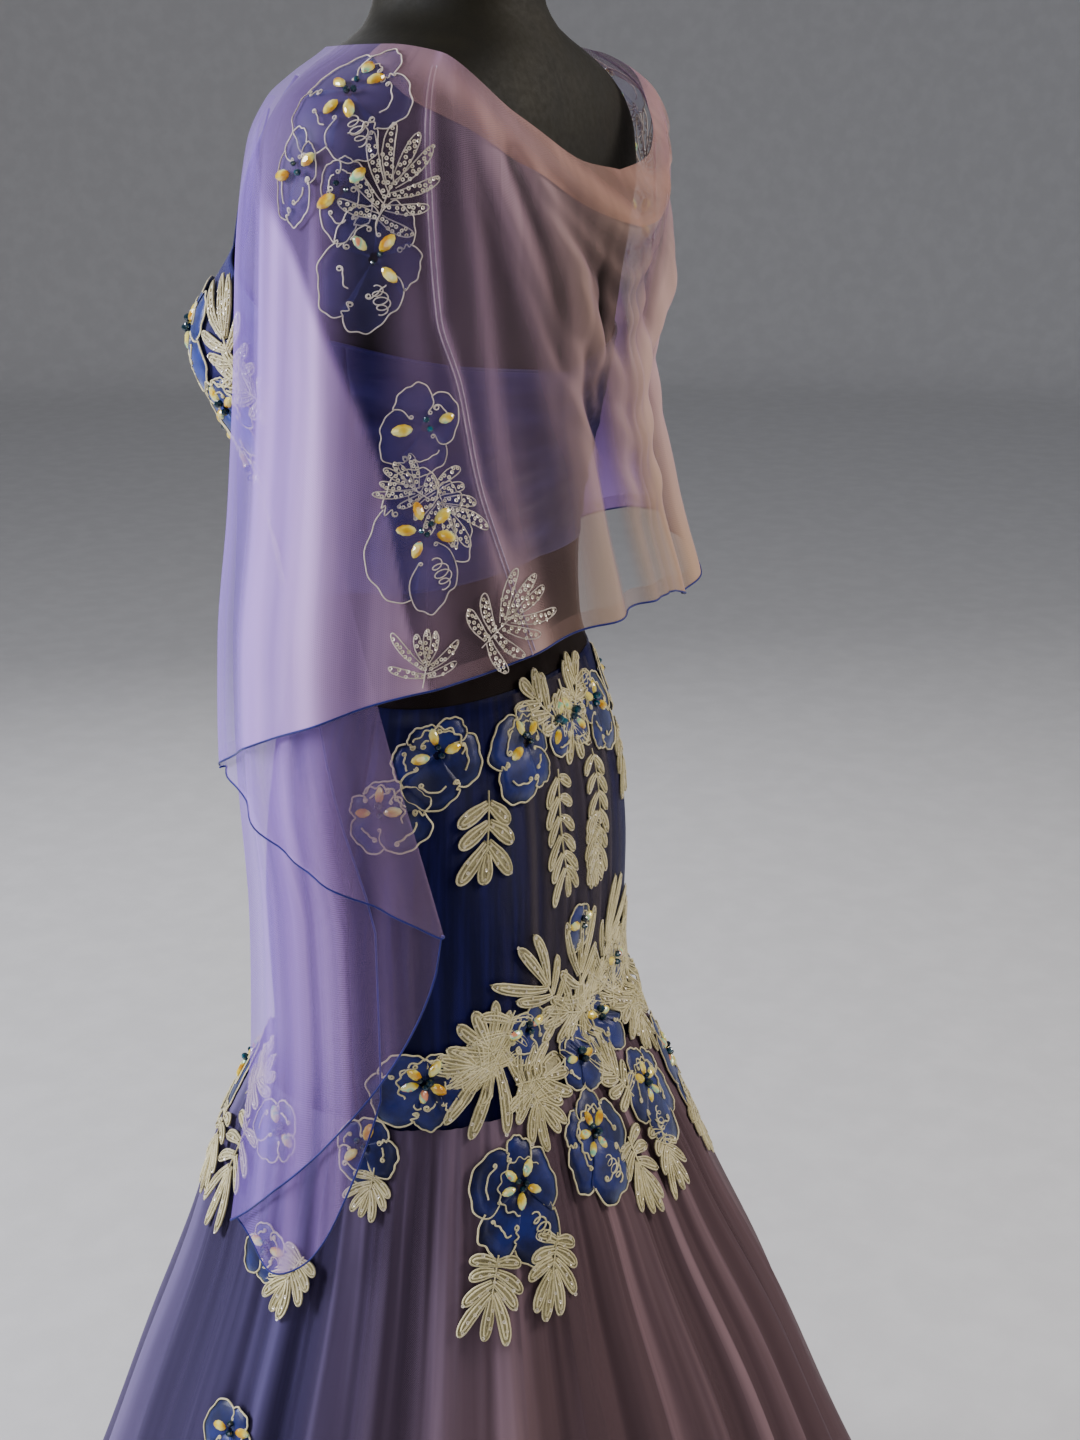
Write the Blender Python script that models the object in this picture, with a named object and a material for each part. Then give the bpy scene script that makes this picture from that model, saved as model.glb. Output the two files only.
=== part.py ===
"""Floor-length mermaid prom dress with a sheer cape, on its limbless dress form.

Metres, +Z up. The origin is on the floor under the pole, the front faces -Y and the wearer's left is +X.
Angles go round the dress from +X (0) through +Y, the back (90), as seen from above.
"""

import math
from bisect import bisect_right
from collections import namedtuple

import bmesh
import bpy
import numpy as np
from mathutils import Matrix, Vector

# Walls, and the gaps between panels. A seam's gap is an angle, worked out where the dress is narrowest.
SEAM = 0.0003
SEAM_RADIUS = 0.08
SATIN = 0.0020
TULLE = 0.0012
APPLIQUE = 0.0016
# How far the dress stands off the form, and the gathered skirt off the satin
EASE = 0.0015
NEST = 0.0008
# How far the appliques stand off what carries them, so that their flat faces clear its folds
HIP_LIFT = 0.0012
SKIRT_LIFT = 0.0008
CUP_LIFT = 0.0019
CAPE_LIFT = 0.0013

# The figure's sections are ellipses of this power, with a column of points every few degrees
SQUARENESS = 2.3
STEP = 10.0

# Heights and counts
FORM_BOTTOM = 0.80
POLE_RADIUS = 0.017
BASE_RADIUS = 0.145
BASE_HEIGHT = 0.016
WAIST_SEAM = 1.034
FLOUNCE_TOP = 0.742
FLOUNCE_HEM = 0.008
LINING_HEM = 0.012
WAVES = 28
WAVE_POINTS = 5
GORES = 7

# The bust: a swelling at this angle to each side of the front, and how far it spreads round and up
BUST_HEIGHT = 1.262
BUST_ANGLE = 28.0
BUST_WIDTH = 25.0
BUST_REACH = 0.057
FORM_BUST = 0.040
CUP_BUST = 0.051

# The cape's front edge, the seam of its side and back panels, and how far a fold's nose reaches round
CAPE_FRONT = -29.0
CAPE_SEAM = 38.0
CAPE_ROWS = 14
FOLD_NOSE = 0.5

Section = namedtuple("Section", "z half_width front back")
BODY = [
    Section(0.800, 0.165, 0.126, 0.084),
    Section(0.870, 0.166, 0.129, 0.086),
    Section(0.920, 0.159, 0.130, 0.085),
    Section(0.970, 0.145, 0.128, 0.080),
    Section(1.020, 0.127, 0.123, 0.066),
    Section(1.060, 0.119, 0.121, 0.055),
    Section(1.100, 0.121, 0.122, 0.052),
    Section(1.150, 0.128, 0.124, 0.056),
    Section(1.200, 0.138, 0.124, 0.066),
    Section(1.255, 0.147, 0.124, 0.077),
    Section(1.300, 0.154, 0.122, 0.083),
    Section(1.340, 0.168, 0.116, 0.086),
    Section(1.375, 0.180, 0.106, 0.086),
    Section(1.400, 0.180, 0.097, 0.083),
    Section(1.420, 0.170, 0.089, 0.079),
    Section(1.436, 0.150, 0.082, 0.074),
    Section(1.448, 0.125, 0.076, 0.069),
    Section(1.458, 0.098, 0.070, 0.064),
    Section(1.468, 0.070, 0.064, 0.058),
    Section(1.485, 0.055, 0.059, 0.051),
    Section(1.510, 0.051, 0.057, 0.048),
    Section(1.560, 0.050, 0.056, 0.046),
]
# The outline of the gathered skirt at the crests of its folds
SKIRT = [
    Section(0.008, 0.458, 0.448, 0.456),
    Section(0.200, 0.376, 0.368, 0.368),
    Section(0.370, 0.302, 0.297, 0.288),
    Section(0.500, 0.252, 0.250, 0.232),
    Section(0.600, 0.212, 0.212, 0.179),
    Section(0.640, 0.198, 0.200, 0.160),
    Section(0.680, 0.186, 0.185, 0.139),
    Section(0.720, 0.172, 0.163, 0.120),
    Section(0.745, 0.166, 0.147, 0.108),
    Section(0.800, 0.168, 0.129, 0.087),
]
# Half the depth of the skirt's folds at each height
Fold = namedtuple("Fold", "z depth")
SKIRT_FOLDS = [
    Fold(0.008, 0.0170),
    Fold(0.200, 0.0145),
    Fold(0.370, 0.0115),
    Fold(0.600, 0.0060),
    Fold(0.680, 0.0030),
    Fold(0.745, 0.0010),
]

HIP_LEVELS = [0.80, 0.85, 0.90, 0.95, 1.0]
FORM_LEVELS = [0.80, 0.90, 1.0, WAIST_SEAM, 1.06, 1.09, 1.12, 1.15, 1.18, 1.21, 1.235, 1.26]
FORM_LEVELS += [1.285, 1.31, 1.335, 1.36, 1.385, 1.405, 1.422, 1.436, 1.448, 1.458, 1.468, 1.49, 1.56]
FLARE_LEVELS = [0.22, 0.42, 0.56, 0.64, 0.70]
FLOUNCE_LEVELS = [FLOUNCE_HEM, *FLARE_LEVELS, FLOUNCE_TOP]
# The lining's top edge, the satin's lower edge just above it, and the levels of both
LINING_TOP = 0.7446
SATIN_FOOT = 0.7454
LINING_LEVELS = [LINING_HEM, *FLARE_LEVELS, LINING_TOP]
SKIRT_LEVELS = [SATIN_FOOT, 0.772, *HIP_LEVELS, WAIST_SEAM - SEAM / 2]
SATIN_LEVELS = [*LINING_LEVELS, *SKIRT_LEVELS]

# How far the hanging cape stands from the axis: front edge, side, flank, rear and middle of the back
CAPE_ANGLES = (CAPE_FRONT, 5.0, 20.0, 45.0, 90.0)
Hang = namedtuple("Hang", "z front side flank rear back")
CAPE_HANG = [
    Hang(0.620, 0.236, 0.234, 0.226, 0.190, 0.150),
    Hang(0.700, 0.220, 0.221, 0.214, 0.184, 0.150),
    Hang(0.800, 0.202, 0.214, 0.208, 0.182, 0.152),
    Hang(0.900, 0.198, 0.217, 0.210, 0.182, 0.155),
    Hang(1.000, 0.198, 0.232, 0.218, 0.184, 0.160),
    Hang(1.080, 0.195, 0.230, 0.214, 0.176, 0.156),
    Hang(1.170, 0.189, 0.214, 0.190, 0.150, 0.132),
    Hang(1.250, 0.185, 0.203, 0.174, 0.130, 0.118),
    Hang(1.340, 0.176, 0.195, 0.176, 0.136, 0.122),
    Hang(1.400, 0.161, 0.192, 0.175, 0.131, 0.110),
    Hang(1.427, 0.146, 0.178, 0.162, 0.120, 0.103),
    Hang(1.442, 0.127, 0.1505, 0.141, 0.113, 0.100),
    Hang(1.453, 0.1089, 0.1223, 0.1162, 0.106, 0.096),
    Hang(1.462, 0.0960, 0.1040, 0.1000, 0.094, 0.088),
]
Edge = namedtuple("Edge", "angle z")
CAPE_NECKLINE = [
    Edge(-29.0, 1.4570),
    Edge(5.0, 1.4590),
    Edge(23.0, 1.4540),
    Edge(44.0, 1.418),
    Edge(68.0, 1.388),
    Edge(90.0, 1.381),
]
CAPE_HEM = [
    Edge(-29.0, 0.992),
    Edge(1.0, 1.046),
    Edge(17.0, 1.070),
    Edge(38.0, 1.084),
    Edge(60.0, 1.100),
    Edge(90.0, 1.104),
    Edge(106.0, 1.094),
    Edge(114.0, 1.100),
    Edge(124.0, 1.124),
    Edge(142.0, 1.126),
    Edge(160.0, 1.118),
    Edge(184.0, 1.100),
    Edge(197.0, 1.044),
    Edge(209.0, 0.992),
]
# How far the cape hangs closer on the wearer's right: most below one level and none above the other
TUCK = 0.020
TUCK_ANGLE = 145.0
TUCK_WIDTH = 30.0
TUCK_LOW = 1.13
TUCK_HIGH = 1.34
# The folds that swing across the back of the cape: their height at the middle and at the side panel's seam
Swag = namedtuple("Swag", "middle side width depth")
SWAG_CURVE = 1.6
SWAG_END = 1.3
SWAGS = [
    Swag(1.345, 1.420, 0.016, 0.010),
    Swag(1.245, 1.385, 0.020, 0.008),
]

# The layers of the cascade that falls behind the cape's front edge, each one behind the last. The fold or
# edge that ends a layer lies at one angle at the top and at another below, and the hem bows and dips to it.
Layer = namedtuple("Layer", "end_top end_low hem_end bow dip columns")
CASCADE_LEFT = [
    Layer(-10.0, 24.0, 0.905, 1.3, 0.0, 4),
    Layer(-28.0, -23.0, 0.660, 0.6, 0.0, 5),
    Layer(-14.0, 11.0, 0.780, 3.0, 0.030, 4),
]
# The right one hangs narrower and further to the front
CASCADE_RIGHT = [
    Layer(-14.0, -5.0, 0.905, 1.1, 0.0, 3),
    Layer(-28.0, -24.0, 0.660, 0.7, 0.0, 3),
    Layer(-18.0, -10.0, 0.780, 2.4, 0.020, 3),
]
CASCADE_TOP = 1.335
CASCADE_LOW = 0.905
CASCADE_START_HEM = 0.990
# Depth behind the cape's outer face: of the first layer, and from one layer to the next
Gap = namedtuple("Gap", "z first step")
LAYER_GAPS = [
    Gap(0.620, 0.0050, 0.0050),
    Gap(1.100, 0.0050, 0.0050),
    Gap(1.220, 0.0026, 0.0021),
    Gap(CASCADE_TOP, 0.0024, 0.0019),
]

BODICE_TOP = [
    Edge(-90.0, 1.272),
    Edge(-76.0, 1.310),
    Edge(-62.0, 1.338),
    Edge(-42.0, 1.318),
    Edge(-18.0, 1.284),
    Edge(0.0, 1.278),
    Edge(30.0, 1.262),
    Edge(90.0, 1.246),
]
BODICE_BOTTOM = [
    Edge(-90.0, WAIST_SEAM),
    Edge(-60.0, WAIST_SEAM),
    Edge(-40.0, 1.072),
    Edge(-20.0, 1.104),
    Edge(0.0, 1.112),
    Edge(90.0, 1.118),
]
WAIST_MESH_START = -50.0
STRAP_FOOT = -61.0
STRAP_FOOT_SPREAD = 11.0
STRAP_HEAD = -44.0
STRAP_HEAD_SPREAD = 11.0
STRAP_SEAT = 0.0015
STRAP_TOP = 1.440
STRAP_ARCH = 0.008

# Colours (linear), roughness and metallic value of each finish
Finish = namedtuple("Finish", "colour roughness metallic")
FINISHES = {
    "form_black": Finish((0.020, 0.017, 0.012), 0.45, 0.0),
    "stand_metal": Finish((0.05, 0.05, 0.05), 0.35, 0.9),
    "violet_satin": Finish((0.055, 0.050, 0.200), 0.42, 0.0),
    "navy_satin": Finish((0.012, 0.014, 0.085), 0.40, 0.0),
    "mauve_tulle": Finish((0.190, 0.120, 0.190), 0.80, 0.0),
    "cape_tulle": Finish((0.500, 0.350, 0.520), 0.75, 0.0),
    "waist_mesh": Finish((0.045, 0.030, 0.035), 0.80, 0.0),
    "blue_organza": Finish((0.030, 0.060, 0.420), 0.50, 0.0),
    "ivory_lace": Finish((0.700, 0.660, 0.500), 0.60, 0.0),
}


def smooth(knots, values, x):
    """Value at x of a curve through the knots that never overshoots them."""
    x = min(max(x, knots[0]), knots[-1])
    i = min(max(int(np.searchsorted(knots, x)) - 1, 0), len(knots) - 2)
    secants = np.diff(values) / np.diff(knots)

    def slope(k):
        if k in (0, len(knots) - 1):
            return secants[min(k, len(secants) - 1)]
        before, after = secants[k - 1], secants[k]
        return 2 * before * after / (before + after) if before * after > 0 else 0.0

    width = knots[i + 1] - knots[i]
    t = (x - knots[i]) / width
    return (
        values[i] * (1 + 2 * t) * (1 - t) ** 2
        + values[i + 1] * t * t * (3 - 2 * t)
        + slope(i) * width * t * (1 - t) ** 2
        - slope(i + 1) * width * t * t * (1 - t)
    )


def read(table, key, column, x):
    """The named column of a table at x."""
    return smooth([getattr(row, key) for row in table], [getattr(row, column) for row in table], x)


def ring_radius(angle, half_width, front, back):
    """Distance from the axis to a rounded section that is deeper on one side."""
    across, along = math.cos(math.radians(angle)), math.sin(math.radians(angle))
    depth = back if along > 0 else front
    power = SQUARENESS
    return (abs(across / half_width) ** power + abs(along / depth) ** power) ** (-1 / power)


def section_radius(table, angle, z):
    return ring_radius(angle, *(read(table, "z", name, z) for name in Section._fields[1:]))


def folded(angle):
    """The angle on the wearer's left side that mirrors this one, from -90 at the front to 90 at the back."""
    return math.degrees(math.asin(max(-1.0, min(1.0, math.sin(math.radians(angle))))))


def body_radius(angle, z, bust):
    """The figure that the bodice is cut for, with two cups of that depth."""
    radius = section_radius(BODY, angle, z)
    aside = (folded(angle) + 90.0 - BUST_ANGLE) / BUST_WIDTH
    return radius + bust * math.exp(-aside * aside - ((z - BUST_HEIGHT) / BUST_REACH) ** 2)


def satin_radius(angle, z):
    """Outer face of the satin skirt, inside the gathered one below its seam."""
    hips = body_radius(angle, max(z, FORM_BOTTOM), 0.0) + EASE + SATIN
    if z >= FORM_BOTTOM:
        return hips
    inside = section_radius(SKIRT, angle, z) - 2 * fold_depth(z) - TULLE - NEST
    blend = min((FORM_BOTTOM - z) / (FORM_BOTTOM - 0.745), 1.0)
    ripple = 0.6 * fold_depth(z) * (1 - math.cos(math.radians(10 * angle))) * max(0.0, blend * 3 - 2)
    return hips * (1 - blend) + inside * blend - ripple


def fold_depth(z):
    return read(SKIRT_FOLDS, "z", "depth", z)


def flounce_radius(angle, z):
    """Outer face of the gathered tulle: uneven folds that deepen towards the hem."""
    turn = math.radians(angle)
    wave = math.cos(WAVES * turn + 0.7 * math.sin(3 * turn) + 0.4 * math.sin(7 * turn))
    return section_radius(SKIRT, angle, z) - fold_depth(z) * (1 - unevenness(angle) * wave)


def unevenness(angle):
    return 0.78 + 0.22 * math.sin(5 * math.radians(angle) + 1.0)


def crest_radius(angle, z):
    return section_radius(SKIRT, angle, z) - fold_depth(z) * (1 - unevenness(angle))


def bodice_radius(angle, z):
    return body_radius(angle, z, CUP_BUST) + EASE + SATIN


def between_levels(levels, radius_at, angle, z):
    """Radius on the straight line that a wall's faces take from one of its levels to the next."""
    k = min(max(bisect_right(levels, z) - 1, 0), len(levels) - 2)
    share = (z - levels[k]) / (levels[k + 1] - levels[k])
    return radius_at(angle, levels[k]) * (1 - share) + radius_at(angle, levels[k + 1]) * share


def cover_radius(angle, z):
    """What the dress's appliques lie on: the bodice, the satin, or the crests of the gathered skirt."""
    if z > WAIST_SEAM:
        return bodice_radius(angle, z) + CUP_LIFT
    gathered = between_levels(FLOUNCE_LEVELS, crest_radius, angle, z) + SKIRT_LIFT
    if z < FLOUNCE_TOP:
        return gathered
    plain = between_levels(SATIN_LEVELS, satin_radius, angle, z) + HIP_LIFT
    return max(plain, gathered) if z < FLOUNCE_TOP + 0.02 else plain


def cape_radius(angle, z):
    """The hanging surface of the cape, with the folds that swing across its back."""
    sag = min(max((TUCK_HIGH - z) / (TUCK_HIGH - TUCK_LOW), 0.0), 1.0)
    tuck = TUCK * sag * math.exp(-(((angle - TUCK_ANGLE) / TUCK_WIDTH) ** 2))
    angle = folded(angle)
    across = [read(CAPE_HANG, "z", name, z) for name in Hang._fields[1:]]
    radius = smooth(CAPE_ANGLES, across, angle)
    for swag in SWAGS:
        share = min(max((90.0 - angle) / (90.0 - CAPE_SEAM), 0.0), SWAG_END)
        height = swag.middle + (swag.side - swag.middle) * share**SWAG_CURVE
        fade = max(0.0, 1 - (share / SWAG_END) ** 4)
        radius += swag.depth * fade * math.exp(-(((z - height) / swag.width) ** 2))
    return radius - tuck


def polar(angle, radius, z):
    turn = math.radians(angle)
    return Vector((radius * math.cos(turn), radius * math.sin(turn), z))


def normals_of(grid):
    """Unit normals of a grid of points, whose columns run round the dress and whose rows run upwards."""
    points = np.array(grid, float)
    along, up = (np.gradient(points, axis=axis, edge_order=2) for axis in (1, 0))
    normal = np.cross(along, up)
    return normal / np.linalg.norm(normal, axis=2, keepdims=True)


def material_of(name):
    found = bpy.data.materials.get(name)
    if found:
        return found
    finish = FINISHES[name]
    material = bpy.data.materials.new(name)
    material.use_nodes = True
    shader = material.node_tree.nodes["Principled BSDF"]
    shader.inputs["Base Color"].default_value = (*finish.colour, 1.0)
    shader.inputs["Roughness"].default_value = finish.roughness
    shader.inputs["Metallic"].default_value = finish.metallic
    material.diffuse_color = (*finish.colour, 1.0)
    return material


def add_object(name, points, faces, finish):
    """One closed body with its faces pointing out, shaded smooth across its soft edges."""
    mesh = bpy.data.meshes.new(name)
    mesh.from_pydata([tuple(p) for p in points], [], faces)
    shape = bmesh.new()
    shape.from_mesh(mesh)
    bmesh.ops.recalc_face_normals(shape, faces=shape.faces)
    shape.to_mesh(mesh)
    shape.free()
    mesh.shade_smooth()
    mesh.set_sharp_from_angle(angle=math.radians(50))
    mesh.materials.append(material_of(finish))
    item = bpy.data.objects.new(name, mesh)
    bpy.context.scene.collection.objects.link(item)
    return item


def cloth(name, grid, thickness, finish, proud=0.0):
    """A wall of cloth through a grid of points, all behind them but for what stands proud of them."""
    outer = np.array(grid, float) + normals_of(grid) * proud
    inner = outer - normals_of(grid) * thickness
    rows, columns = outer.shape[:2]
    points = np.concatenate([outer.reshape(-1, 3), inner.reshape(-1, 3)])
    behind = rows * columns

    def spot(row, column):
        return row * columns + column

    faces = []
    for r in range(rows - 1):
        for c in range(columns - 1):
            a, b, d, e = spot(r, c), spot(r, c + 1), spot(r + 1, c + 1), spot(r + 1, c)
            for front in ((a, b, d), (a, d, e)):
                faces += [front, tuple(k + behind for k in reversed(front))]
    rim = [spot(0, c) for c in range(columns)]
    rim += [spot(r, columns - 1) for r in range(1, rows)]
    rim += [spot(rows - 1, c) for c in range(columns - 2, -1, -1)]
    rim += [spot(r, 0) for r in range(rows - 2, 0, -1)]
    for a, b in zip(rim, rim[1:] + rim[:1]):
        faces += [(b, a, a + behind), (b, a + behind, b + behind)]
    return add_object(name, points, faces, finish)


def angles_between(start, end, step=STEP):
    """Columns a seam's half gap inside both ends, on whole steps between them."""
    half_gap = math.degrees(SEAM / 2 / SEAM_RADIUS)
    inner = [k * step for k in range(math.ceil((start + 1) / step), math.floor((end - 1) / step) + 1)]
    return [start + half_gap, *inner, end - half_gap]


def spread(low, high, count):
    return [low + (high - low) * k / (count - 1) for k in range(count)]


# Dress form
def build_form():
    """The limbless torso with its neck, on a pole and a round foot."""
    columns = [k * STEP for k in range(int(360 / STEP))]
    points = [polar(a, body_radius(a, z, FORM_BUST), z) for z in FORM_LEVELS for a in columns]
    count = len(columns)
    top = (len(FORM_LEVELS) - 1) * count
    faces = [tuple(reversed(range(count))), tuple(range(top, top + count))]
    for r in range(len(FORM_LEVELS) - 1):
        for c in range(count):
            a, b = r * count + c, r * count + (c + 1) % count
            faces += [(a, b, b + count), (a, b + count, a + count)]
    add_object("form_torso", points, faces, "form_black")
    turned("form_pole", POLE_RADIUS, BASE_HEIGHT + SEAM, FORM_BOTTOM - SEAM, 20, "stand_metal")
    turned("form_base", BASE_RADIUS, 0.0, BASE_HEIGHT, 40, "stand_metal", bevel=0.004)


def turned(name, radius, low, high, sides, finish, bevel=0.0):
    shape = bmesh.new()
    place = Matrix.Translation((0, 0, (low + high) / 2))
    bmesh.ops.create_cone(
        shape, cap_ends=True, segments=sides, radius1=radius, radius2=radius, depth=high - low, matrix=place
    )
    if bevel:
        rim = [e for e in shape.edges if all(v.co.z > (low + high) / 2 for v in e.verts)]
        bmesh.ops.bevel(shape, geom=rim, offset=bevel, segments=2, affect="EDGES", profile=0.5)
    mesh = bpy.data.meshes.new(name)
    shape.to_mesh(mesh)
    shape.free()
    mesh.shade_smooth()
    mesh.set_sharp_from_angle(angle=math.radians(40))
    mesh.materials.append(material_of(finish))
    bpy.context.scene.collection.objects.link(bpy.data.objects.new(name, mesh))


# Bodice
def bodice_grid(start, end, rows):
    grid = []
    for share in spread(0.0, 1.0, rows):
        row = []
        for angle in angles_between(start, end):
            low = read(BODICE_BOTTOM, "angle", "z", folded(angle)) + SEAM
            high = read(BODICE_TOP, "angle", "z", folded(angle))
            z = low + (high - low) * share
            row.append(polar(angle, bodice_radius(angle, z), z))
        grid.append(row)
    return grid


def build_bodice():
    cloth("bodice_front", bodice_grid(-180.0, 0.0, 12), SATIN, "violet_satin")
    cloth("bodice_back", bodice_grid(0.0, 180.0, 8), SATIN, "violet_satin")
    for side, name in ((1, "strap_left"), (-1, "strap_right")):
        cloth(name, strap_grid(side), SATIN, "violet_satin")


def strap_grid(side):
    """A straight band from the top of the cup to where the cape's front edge crosses the shoulder."""
    grid = []
    for share in spread(0.0, 1.0, 7):
        row = []
        for across in spread(-1.0, 1.0, 4):
            foot_angle = STRAP_FOOT + STRAP_FOOT_SPREAD * across
            foot_z = read(BODICE_TOP, "angle", "z", foot_angle) + STRAP_SEAT
            foot = polar(foot_angle, bodice_radius(foot_angle, foot_z), foot_z)
            head_angle = STRAP_HEAD + STRAP_HEAD_SPREAD * across
            head = polar(head_angle, body_radius(head_angle, STRAP_TOP, 0.0) + 2 * EASE + SATIN, STRAP_TOP)
            arch = STRAP_ARCH * math.sin(math.pi * share)
            point = foot.lerp(head, share) + Vector((0.3, -1.0, 0.4)) * arch
            row.append(Vector((side * point.x, point.y, point.z)))
        grid.append(row if side > 0 else row[::-1])
    return grid


# Waist
def build_waist_mesh():
    """Sheer panels that join the bodice to the skirt at the sides and back."""
    for name, start, end in (("waist_mesh_left", WAIST_MESH_START, 90.0), ("waist_mesh_right", 90.0, 230.0)):
        grid = []
        for share in spread(0.0, 1.0, 4):
            row = []
            for angle in angles_between(start, end):
                high = read(BODICE_BOTTOM, "angle", "z", folded(angle)) - SEAM / 2
                z = WAIST_SEAM + SEAM + (high - WAIST_SEAM - SEAM) * share
                row.append(polar(angle, body_radius(angle, z, 0.0) + EASE + TULLE, z))
            grid.append(row)
        cloth(name, grid, TULLE, "waist_mesh")


# Skirt
def build_skirt():
    for half, start, end in (("front", -180.0, 0.0), ("back", 0.0, 180.0)):
        for name, levels in (("skirt", SKIRT_LEVELS), ("lining", LINING_LEVELS)):
            grid = [[polar(a, satin_radius(a, z), z) for a in angles_between(start, end)] for z in levels]
            cloth(f"{name}_{half}", grid, SATIN, "navy_satin")
    width = 360.0 / GORES
    for gore in range(GORES):
        half_gap = math.degrees(SEAM / 2 / SEAM_RADIUS)
        start = -90.0 + (gore - 0.5) * width
        columns = spread(start + half_gap, start + width - half_gap, WAVES // GORES * WAVE_POINTS + 1)
        grid = [[polar(a, flounce_radius(a, z), z) for a in columns] for z in FLOUNCE_LEVELS]
        cloth(f"flounce_{gore + 1}", grid, TULLE, "mauve_tulle")


# Cape
def cape_grid(start, end, rows, step):
    """Rows run from the hem up to the neckline, closer together over the shoulder."""
    half_gap = math.degrees(SEAM / 2 / SEAM_RADIUS)
    count = round((end - start) / step) + 1
    grid = []
    for share in spread(0.0, 1.0, rows):
        eased = 1 - (1 - share) ** 1.7
        row = []
        for angle in spread(start + half_gap, end - half_gap, count):
            low = read(CAPE_HEM, "angle", "z", angle)
            high = read(CAPE_NECKLINE, "angle", "z", folded(angle))
            z = low + (high - low) * eased
            row.append(polar(angle, cape_radius(angle, z), z))
        grid.append(row)
    return grid


def cascade_stops(layers):
    """Round the zigzag of layers: angle at the top and below, how many steps behind the first, and hem."""
    stops = [(CAPE_FRONT - FOLD_NOSE, CAPE_FRONT - FOLD_NOSE, -0.5, CASCADE_START_HEM)]
    top = low = CAPE_FRONT
    hem = CASCADE_START_HEM
    for step, layer in enumerate(layers):
        for k in range(layer.columns + 1):
            t = k / layer.columns
            here = hem + (layer.hem_end - hem) * t**layer.bow - layer.dip * math.sin(math.pi * t)
            stops.append((top + (layer.end_top - top) * t, low + (layer.end_low - low) * t, step, here))
        top, low, hem = layer.end_top, layer.end_low, layer.hem_end
        if layer is not layers[-1]:
            turn = FOLD_NOSE if step % 2 == 0 else -FOLD_NOSE
            stops.append((top + turn, low + turn, step + 0.5, hem))
    return stops


def cascade_grid(layers, side):
    """The middle of the cloth that falls from the front edge in layers, each behind and below the last."""
    grid = []
    for share in spread(0.0, 1.0, 9):
        row = []
        for top, low, step, hem in cascade_stops(layers):
            z = hem + (CASCADE_TOP - hem) * share
            fall = min((CASCADE_TOP - z) / (CASCADE_TOP - CASCADE_LOW), 1.0)
            angle = top + (low - top) * fall
            depth = read(LAYER_GAPS, "z", "first", z) + step * read(LAYER_GAPS, "z", "step", z)
            point = polar(angle, cape_radius(angle if side > 0 else 180.0 - angle, z) - depth, z)
            row.append(Vector((side * point.x, point.y, point.z)))
        grid.append(row if side > 0 else row[::-1])
    return grid


def build_cape():
    for name, start, end in (
        ("cape_side_left", CAPE_FRONT, CAPE_SEAM),
        ("cape_side_right", 180.0 - CAPE_SEAM, 180.0 - CAPE_FRONT),
    ):
        cloth(name, cape_grid(start, end, CAPE_ROWS, 6.7), TULLE, "cape_tulle")
    for name, layers, side in (("cape_cascade_left", CASCADE_LEFT, 1), ("cape_cascade_right", CASCADE_RIGHT, -1)):
        cloth(name, cascade_grid(layers, side), TULLE, "cape_tulle", TULLE / 2)
    cloth("cape_back", cape_grid(CAPE_SEAM, 180.0 - CAPE_SEAM, CAPE_ROWS, 8.0), TULLE, "cape_tulle")


# Appliques
Motif = namedtuple("Motif", "name kind angle z tilt width height both")
MOTIFS = [
    # Over the seam of the gathered skirt, from the front round to the back
    Motif("thigh_front", "flower", -62.0, 0.712, 0, 0.075, 0.085, True),
    Motif("thigh_front_leaf", "leaf", -38.0, 0.668, 15, 0.045, 0.085, True),
    Motif("thigh_flower_side", "flower", 15.0, 0.772, 0, 0.066, 0.062, True),
    Motif("thigh_leaf_side", "leaf", 37.5, 0.772, 20, 0.046, 0.070, True),
    Motif("thigh_drop", "flower", 40.0, 0.688, 0, 0.070, 0.080, True),
    Motif("thigh_drop_leaf", "leaf", 33.0, 0.630, 12, 0.040, 0.050, True),
    Motif("thigh_leaf_high", "leaf", 57.0, 0.818, -35, 0.046, 0.085, True),
    Motif("thigh_flower_rear", "flower", 71.0, 0.700, 0, 0.066, 0.076, True),
    Motif("thigh_leaf_rear", "leaf", 90.0, 0.816, 0, 0.050, 0.085, False),
    # Hips
    Motif("hip_flower", "flower", 21.0, 1.000, 0, 0.060, 0.056, True),
    Motif("hip_flower_rear", "flower", 52.0, 0.994, 0, 0.056, 0.066, True),
    Motif("hip_leaf", "leaf", 34.0, 0.945, 0, 0.040, 0.060, True),
    Motif("hip_vine", "leaf", 76.0, 0.925, -6, 0.032, 0.096, True),
    # Bodice
    Motif("cup_flower", "flower", -58.0, 1.268, 0, 0.080, 0.085, True),
    Motif("bodice_leaf", "leaf", -90.0, 1.140, 0, 0.060, 0.120, False),
]
CAPE_MOTIFS = [
    Motif("cape_flower_high", "flower", 12.0, 1.330, 0, 0.056, 0.090, True),
    Motif("cape_flower_low", "flower", 21.0, 1.165, 0, 0.058, 0.090, True),
]


Outline = namedtuple("Outline", "lobes points depth start")
OUTLINES = {"flower": Outline(5, 15, 0.15, 60.0), "leaf": Outline(7, 14, 0.17, 0.0)}


def outline(kind):
    """Points round a flower of five broad petals or a lobed leaf, one unit across and one high."""
    lobes, count, depth, start = OUTLINES[kind]
    found = []
    for k in range(count):
        turn = 2 * math.pi * k / count
        reach = 0.5 * (1 - depth + depth * math.cos(lobes * turn + math.radians(start)))
        found.append((reach * math.sin(turn), reach * math.cos(turn)))
    return found


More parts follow.
